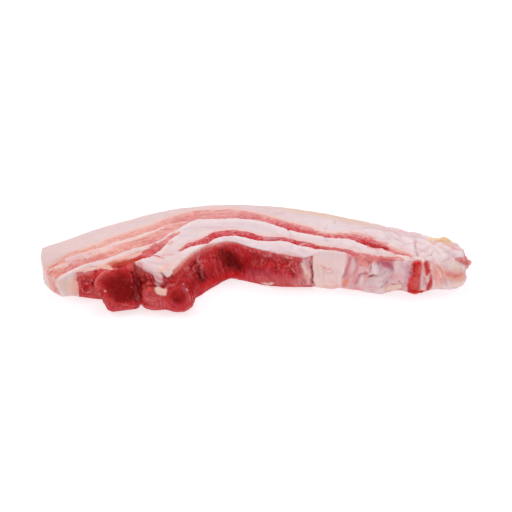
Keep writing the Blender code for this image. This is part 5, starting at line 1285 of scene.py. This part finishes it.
    # right half of the rib side: cartilage, membranes and small fat
    shell = step(-2.5, -0.3, edge) * step(16.6, 17.1, phi)
    lean_side = phi + 0.9 * fbm(z / 7.0, s / 9.0, 0.0 * z, 2, 51)
    for left, right, ink in ((16.0, 26.0, "cartilage"), (25.0, 31.6, "pink"), (31.0, 37.5, "grey"),
                             (36.5, 41.0, "pinkfat"), (40.5, 52.0, "peach")):
        m = step(left - 0.4, left + 0.5, lean_side) * step(right + 0.5, right - 0.4, lean_side)
        fat = paint(fat, m * shell, INK[ink])

    lean = ramp(np.clip(tone, 0, 1), LEAN_STOPS)

    # lobules of fat, with painted shade in the hollows of their relief and painted highlights on its crowns
    warm = step(-14.0, -34.0, phi) * top_face
    fat = paint(fat, 0.60 * warm * (1 - 0.85 * outer) * step(-0.5, 0.4, fine), INK["stain"])
    fat = paint(fat, 0.34 * warm * (1 - outer) * step(-0.1, 0.5, big - 0.3 * fine), INK["pink"])
    fat = paint(fat, 0.45 * step(28.0, 40.0, phi) * step(-0.5, 0.4, fine), INK["warmfat"])
    lean = lean * (1 - warm[:, None] * np.array([-0.02, 0.0, 0.09]))
    one, two = cells3(s / 10.0, t / 6.0, z / 10.0, 3)
    seam = step(0.30, 0.0, two - one)
    not_lean = step(0.6, -0.6, lean_d)
    right_part = step(14.0, 36.0, phi)
    plump = (0.30 + 0.75 * right_part) * step(-48.0, -30.0, phi)
    lift = lift + not_lean * plump * (0.75 - one * one * 1.3) * (1 - under)
    lift = lift - not_lean * (0.04 + 0.38 * right_part) * seam * (1 - under)
    lift = lift + 0.20 * fbm(s / 3.0, t / 2.2, z / 3.0, 2, 61) * (1 - under)
    # painted shade and highlight: where the relief sinks, the fat is painted lilac and the lean off the top face
    # darker; where it rises, the fat is painted bright
    hollow = np.clip(-lift / 1.3, 0, 1)
    crown_highlight = np.clip(lift / 0.7, 0, 1)
    fat = paint(fat, 0.45 * hollow, INK["lilac_fat_and_shade"])
    fat = paint(fat, 0.45 * crown_highlight, INK["bright"])
    fat = paint(fat, not_lean * (0.04 + 0.28 * right_part) * seam, INK["seamfat"])
    lean = lean * (1 - 0.30 * hollow * (1 - top_face))[:, None]

    # rind: skin along the outside of the bend
    rind_d = RIND(phi) - t
    skin = step(2.3, 1.1, rind_d + 0.4 * fine)
    fat = paint(fat, 0.35 * skin, INK["tan"])
    lean_d = np.minimum(lean_d, rind_d - 2.6)
    shown = step(3.0, 11.0, phi) * step(33.0, 22.0, phi) * step(9.5, 3.6, rind_d + 1.2 * fine)
    fat = paint(fat, 0.85 * shown, INK["tan"])
    hide = step(0.35, 0.8, out) * step(3.0, 1.5, rind_d)
    fat = paint(fat, hide, INK["skin"])
    fat = paint(fat, 0.6 * hide * step(-0.1, 0.6, big), INK["tan"])
    fat = paint(fat, 0.35 * hide * step(0.0, 0.6, fbm(s / 30.0, z / 9.0, 0.0 * z, 2, 81)), INK["pink"])
    wrinkle = fbm(s / 2.2, z / 9.0, t / 9.0, 2, 83)
    lift = lift + hide * (0.25 * wrinkle + 0.3 * fbm(s / 9.0, z / 9.0, 0.0 * z, 2, 85))

    on_flap = step(1.2, 0.2, flap(p) + 0.5 * fine) * step(-2.0, 1.0, t - RIND(phi) + 2.0)
    hide = hide * (1 - on_flap)
    fat = paint(fat, on_flap, INK["yellow"])
    fat = paint(fat, 0.5 * on_flap * step(-0.2, 0.6, big + fine), INK["cream"])
    tip = 0.6 - ellipsoid(p, (134.0, -7.5, 15.8), (5.6, 5.6, 5.0)) + 0.8 * fine
    tone = np.where(tip > lean_d, 0.31 + 0.34 * fine + 0.25 * speck, tone)
    lean = np.where((tip > lean_d)[:, None], ramp(np.clip(tone, 0, 1), LEAN_STOPS), lean)
    lean_d = np.maximum(lean_d, tip)

    # drawn features
    warp = np.stack([fbm(x / 4.5, y / 4.5, z / 4.5, 3, k) for k in (71, 72, 73)], -1)
    q = p + 1.1 * warp
    torn = noise(x / 1.6, y / 1.6, z / 1.6, 75)
    wet = np.zeros(len(p))
    for ink, strength, soft, side, depth, points in MARKS:
        near, d, w = stroke(q, n, points)
        if not len(near):
            continue
        m = strength * step(w * (1 + 0.55 * soft) + 0.2, w * (1 - 0.85 * soft) - 0.05, d)
        if strength > 1:
            side_of = -1 if ink in ("deep", "dark", "black", "purple") else 1
            m = m * (1 - 1 / strength) * step(-0.1, 0.3, side_of * torn[near])
        elif len(points) > 1 and max(v[3] for v in points) < 0.95:
            m = m * (0.25 + 0.75 * step(-0.4, 0.25, torn[near]))
        if ink == "wet":
            wet[near] = np.maximum(wet[near], m)
        else:
            fat[near] = paint(fat[near], m, INK[ink])
            lean[near] = paint(lean[near], m, INK[ink])
        if side:
            inside = (w - d) * 1.0
            lean_d[near] = np.maximum(lean_d[near], inside) if side > 0 else np.minimum(lean_d[near], -inside)
        if depth:
            lift[near] -= depth * step(w * 1.25 + 0.3, 0.0, d)

    fibre = np.stack([s, t, z], -1)
    upright = np.clip(step(-46.0, -44.0, phi) * step(17.5, 16.5, phi) * (rib > 0) + (in_lobe > 0), 0, 1)
    fibre = np.where(upright[:, None] > 0.5, np.stack([z - 0.15 * s, s + 0.25 * z, t], -1), fibre)
    return fat, lean, lean_d, wet, hide, fibre, lift


# ---------------------------------------------------------------- object
def build():
    place, quads = make_mesh(0.655)
    place, faces = coarsen_under(place, quads, 0.655)
    mesh = bpy.data.meshes.new("belly_slice")
    mesh.from_pydata((place / 1000.0).tolist(), [], faces)
    mesh.validate()
    piece = bpy.data.objects.new("belly_slice", mesh)
    bpy.context.scene.collection.objects.link(piece)
    mesh.shade_smooth()
    co = np.empty(len(mesh.vertices) * 3)
    mesh.vertices.foreach_get("co", co)
    co = co.reshape(-1, 3) * 1000.0
    g = gradient(co)
    n = g / np.linalg.norm(g, axis=1)[:, None]
    fat, lean, lean_d, wet, hide, fibre, lift = finish_of(co, n)
    co = co + n * lift[:, None]
    co[:, 2] = np.maximum(co[:, 2], 0.02)
    mesh.vertices.foreach_set("co", (co / 1000.0).ravel())
    mesh.update()
    for name, kind, data in (("fat_tint", "FLOAT_COLOR", fat), ("lean_tint", "FLOAT_COLOR", lean),
                             ("lean_depth", "FLOAT", lean_d), ("wet", "FLOAT", wet), ("hide", "FLOAT", hide),
                             ("fibre", "FLOAT_VECTOR", fibre)):
        attribute = mesh.attributes.new(name, kind, "POINT")
        if kind == "FLOAT_COLOR":
            data = np.concatenate([data, np.ones((len(data), 1))], 1)
            attribute.data.foreach_set("color", data.ravel())
        elif kind == "FLOAT":
            attribute.data.foreach_set("value", data.ravel())
        else:
            attribute.data.foreach_set("vector", data.ravel())
    return piece


def meat_material():
    material = bpy.data.materials.new("raw_belly")
    material.use_nodes = True
    tree = material.node_tree
    nodes = tree.nodes
    shader = nodes["Principled BSDF"]

    def wire(a, b):
        tree.links.new(a, b)

    def node(kind, **values):
        made = nodes.new(kind)
        for key, value in values.items():
            setattr(made, key, value)
        return made

    def attribute(name):
        return node("ShaderNodeAttribute", attribute_name=name, attribute_type="GEOMETRY")

    def math_node(op, a, b=None, c=None, clamp=False):
        made = node("ShaderNodeMath", operation=op, use_clamp=clamp)
        for i, v in enumerate((a, b, c)):
            if v is None:
                continue
            if isinstance(v, (int, float)):
                made.inputs[i].default_value = v
            else:
                wire(v, made.inputs[i])
        return made.outputs[0]

    def scaled(vector, x, y, z):
        made = node("ShaderNodeVectorMath", operation="MULTIPLY")
        wire(vector, made.inputs[0])
        made.inputs[1].default_value = (x, y, z)
        return made.outputs[0]

    def noise_of(vector, scale, detail=3.0, rough=0.55, distortion=0.0):
        made = node("ShaderNodeTexNoise")
        wire(vector, made.inputs["Vector"])
        made.inputs["Scale"].default_value = scale
        made.inputs["Detail"].default_value = detail
        made.inputs["Roughness"].default_value = rough
        made.inputs["Distortion"].default_value = distortion
        return made.outputs["Fac"]

    def spread(value, lo, hi, to_lo=0.0, to_hi=1.0):
        made = node("ShaderNodeMapRange", interpolation_type="SMOOTHSTEP")
        wire(value, made.inputs[0])
        for i, v in enumerate((lo, hi, to_lo, to_hi)):
            made.inputs[i + 1].default_value = v
        return made.outputs[0]

    def blend(factor, a, b, kind="MIX"):
        made = node("ShaderNodeMix", data_type="RGBA", blend_type=kind)
        for i, v in ((0, factor), (6, a), (7, b)):
            if isinstance(v, (int, float, tuple)):
                made.inputs[i].default_value = v
            else:
                wire(v, made.inputs[i])
        return made.outputs[2]

    fibre = attribute("fibre").outputs["Vector"]
    strands = noise_of(scaled(fibre, 0.11, 0.85, 0.85), 1.0, 3.0, 0.62, 0.25)
    threads = noise_of(scaled(fibre, 0.22, 2.3, 2.3), 1.0, 2.0, 0.55, 0.2)
    grain = noise_of(scaled(fibre, 0.5, 0.8, 0.8), 1.0, 4.0, 0.65)
    mottle = noise_of(scaled(fibre, 0.09, 0.13, 0.13), 1.0, 2.0)
    wet_noise = noise_of(scaled(fibre, 0.35, 0.75, 0.75), 1.0, 3.0, 0.6)

    ragged = math_node("MULTIPLY_ADD", math_node("SUBTRACT", grain, 0.5), 1.7,
                       attribute("lean_depth").outputs["Fac"])
    lean_mask = spread(ragged, -0.35, 0.35)

    fat = attribute("fat_tint").outputs["Color"]
    fat = blend(spread(mottle, 0.35, 0.7, 0.0, 0.35), fat, (0.97, 0.94, 0.99, 1.0), "MULTIPLY")
    fat = blend(spread(grain, 0.50, 0.8, 0.0, 0.45), fat, (0.94, 0.82, 0.83, 1.0), "MULTIPLY")
    lean = attribute("lean_tint").outputs["Color"]
    lean = blend(spread(strands, 0.30, 0.55, 0.50, 0.0), lean, (0.62, 0.32, 0.34, 1.0), "MULTIPLY")
    lean = blend(spread(strands, 0.56, 0.76, 0.0, 0.22), lean, (0.78, 0.18, 0.17, 1.0))
    lean = blend(spread(grain, 0.55, 0.75, 0.0, 0.25), lean, (0.74, 0.13, 0.12, 1.0))
    lean = blend(spread(threads, 0.35, 0.65, 0.30, 0.0), lean, (0.70, 0.50, 0.50, 1.0), "MULTIPLY")
    colour = blend(lean_mask, fat, lean)
    # rind: pores in rows, fine creases
    hide = attribute("hide").outputs["Fac"]
    pores = node("ShaderNodeTexVoronoi")
    wire(scaled(fibre, 0.36, 0.36, 0.36), pores.inputs["Vector"])
    pores.inputs["Scale"].default_value = 1.0
    pit = math_node("MULTIPLY", spread(pores.outputs["Distance"], 0.05, 0.20, 0.6, 0.0), hide)
    creases = noise_of(scaled(fibre, 0.9, 0.25, 0.25), 1.0, 4.0, 0.6, 0.6)
    crease = math_node("MULTIPLY", spread(creases, 0.35, 0.5, 1.0, 0.0), hide)
    colour = blend(math_node("MULTIPLY", pit, 0.55), colour, (0.50, 0.30, 0.22, 1.0))
    # painted shade: the colour is darkened along the creases
    colour = blend(math_node("MULTIPLY", crease, 0.35), colour, (0.78, 0.60, 0.50, 1.0), "MULTIPLY")
    wire(colour, shader.inputs["Base Color"])

    rough = math_node("MULTIPLY_ADD", grain, 0.22, 0.26)
    wire(rough, shader.inputs["Roughness"])
    shader.inputs["Subsurface Weight"].default_value = 0.18
    shader.inputs["Subsurface Radius"].default_value = (1.0, 0.30, 0.22)
    shader.inputs["Subsurface Scale"].default_value = 0.002
    shader.inputs["Specular IOR Level"].default_value = 0.06
    drops = math_node("MULTIPLY", spread(wet_noise, 0.57, 0.70), math_node("MULTIPLY", lean_mask, 0.35))
    wire(math_node("MAXIMUM", attribute("wet").outputs["Fac"], drops), shader.inputs["Coat Weight"])
    shader.inputs["Coat Roughness"].default_value = 0.16
    shader.inputs["Coat IOR"].default_value = 1.4

    relief = math_node("ADD", math_node("MULTIPLY", math_node("ADD", strands, math_node("MULTIPLY", threads, 0.5)),
                                        lean_mask), math_node("MULTIPLY", grain, 0.7))
    relief = math_node("SUBTRACT", relief, math_node("MULTIPLY", math_node("ADD", pit, crease), 0.6))
    bump = node("ShaderNodeBump")
    bump.inputs["Strength"].default_value = 0.45
    bump.inputs["Distance"].default_value = 0.0005
    wire(relief, bump.inputs["Height"])
    wire(bump.outputs[0], shader.inputs["Normal"])
    wire(bump.outputs[0], shader.inputs["Coat Normal"])
    return material


def stage():
    bpy.ops.mesh.primitive_plane_add(size=6.0, location=(0, 0, -0.0002))
    floor = bpy.context.object
    floor.name = "floor"
    material = bpy.data.materials.new("pale_floor")
    material.use_nodes = True
    shader = material.node_tree.nodes["Principled BSDF"]
    shader.inputs["Base Color"].default_value = (0.50, 0.495, 0.508, 1)
    shader.inputs["Roughness"].default_value = 0.9
    shader.inputs["Specular IOR Level"].default_value = 0.1
    shader.inputs["Emission Color"].default_value = (1.0, 0.95, 0.97, 1)
    shader.inputs["Emission Strength"].default_value = 0.62
    floor.data.materials.append(material)

    scene = bpy.context.scene
    world = bpy.data.worlds.new("studio")
    world.use_nodes = True
    world.node_tree.nodes["Background"].inputs[0].default_value = (1.0, 0.99, 1.0, 1)
    world.node_tree.nodes["Background"].inputs[1].default_value = 0.42
    scene.world = world
    scene.view_settings.view_transform = "Standard"

    for name, place, size, power in (("left", (-0.60, 0.10, 0.60), 0.35, 2.0),
                                     ("right", (0.60, 0.15, 0.50), 0.35, 1.4),
                                     ("above", (0.0, 0.40, 0.75), 0.45, 2.0),
                                     ("front", (-0.1, -0.85, 0.55), 0.7, 2.6)):
        lamp = bpy.data.lights.new(name, "AREA")
        lamp.size = size
        lamp.energy = power
        lamp.color = (1.0, 0.99, 0.985)
        holder = bpy.data.objects.new(name, lamp)
        holder.location = place
        scene.collection.objects.link(holder)
        aim = bpy.data.objects.new("aim_" + name, None)
        scene.collection.objects.link(aim)
        track = holder.constraints.new("TRACK_TO")
        track.target = aim
        track.track_axis = "TRACK_NEGATIVE_Z"
        track.up_axis = "UP_Y"

    camera = bpy.data.objects.new("camera", bpy.data.cameras.new("camera"))
    camera.data.sensor_width = 36.0
    camera.data.lens = 107.35
    tilt = math.radians(32.0)
    camera.location = (0.00016, 0.00249 - math.cos(tilt), 0.012 + math.sin(tilt))
    camera.rotation_euler = (math.pi / 2 - tilt, 0, 0)
    scene.collection.objects.link(camera)
    scene.camera = camera


slab = build()
slab.data.materials.append(meat_material())
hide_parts("pork_belly_slab")
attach(slab, "root")
stage()
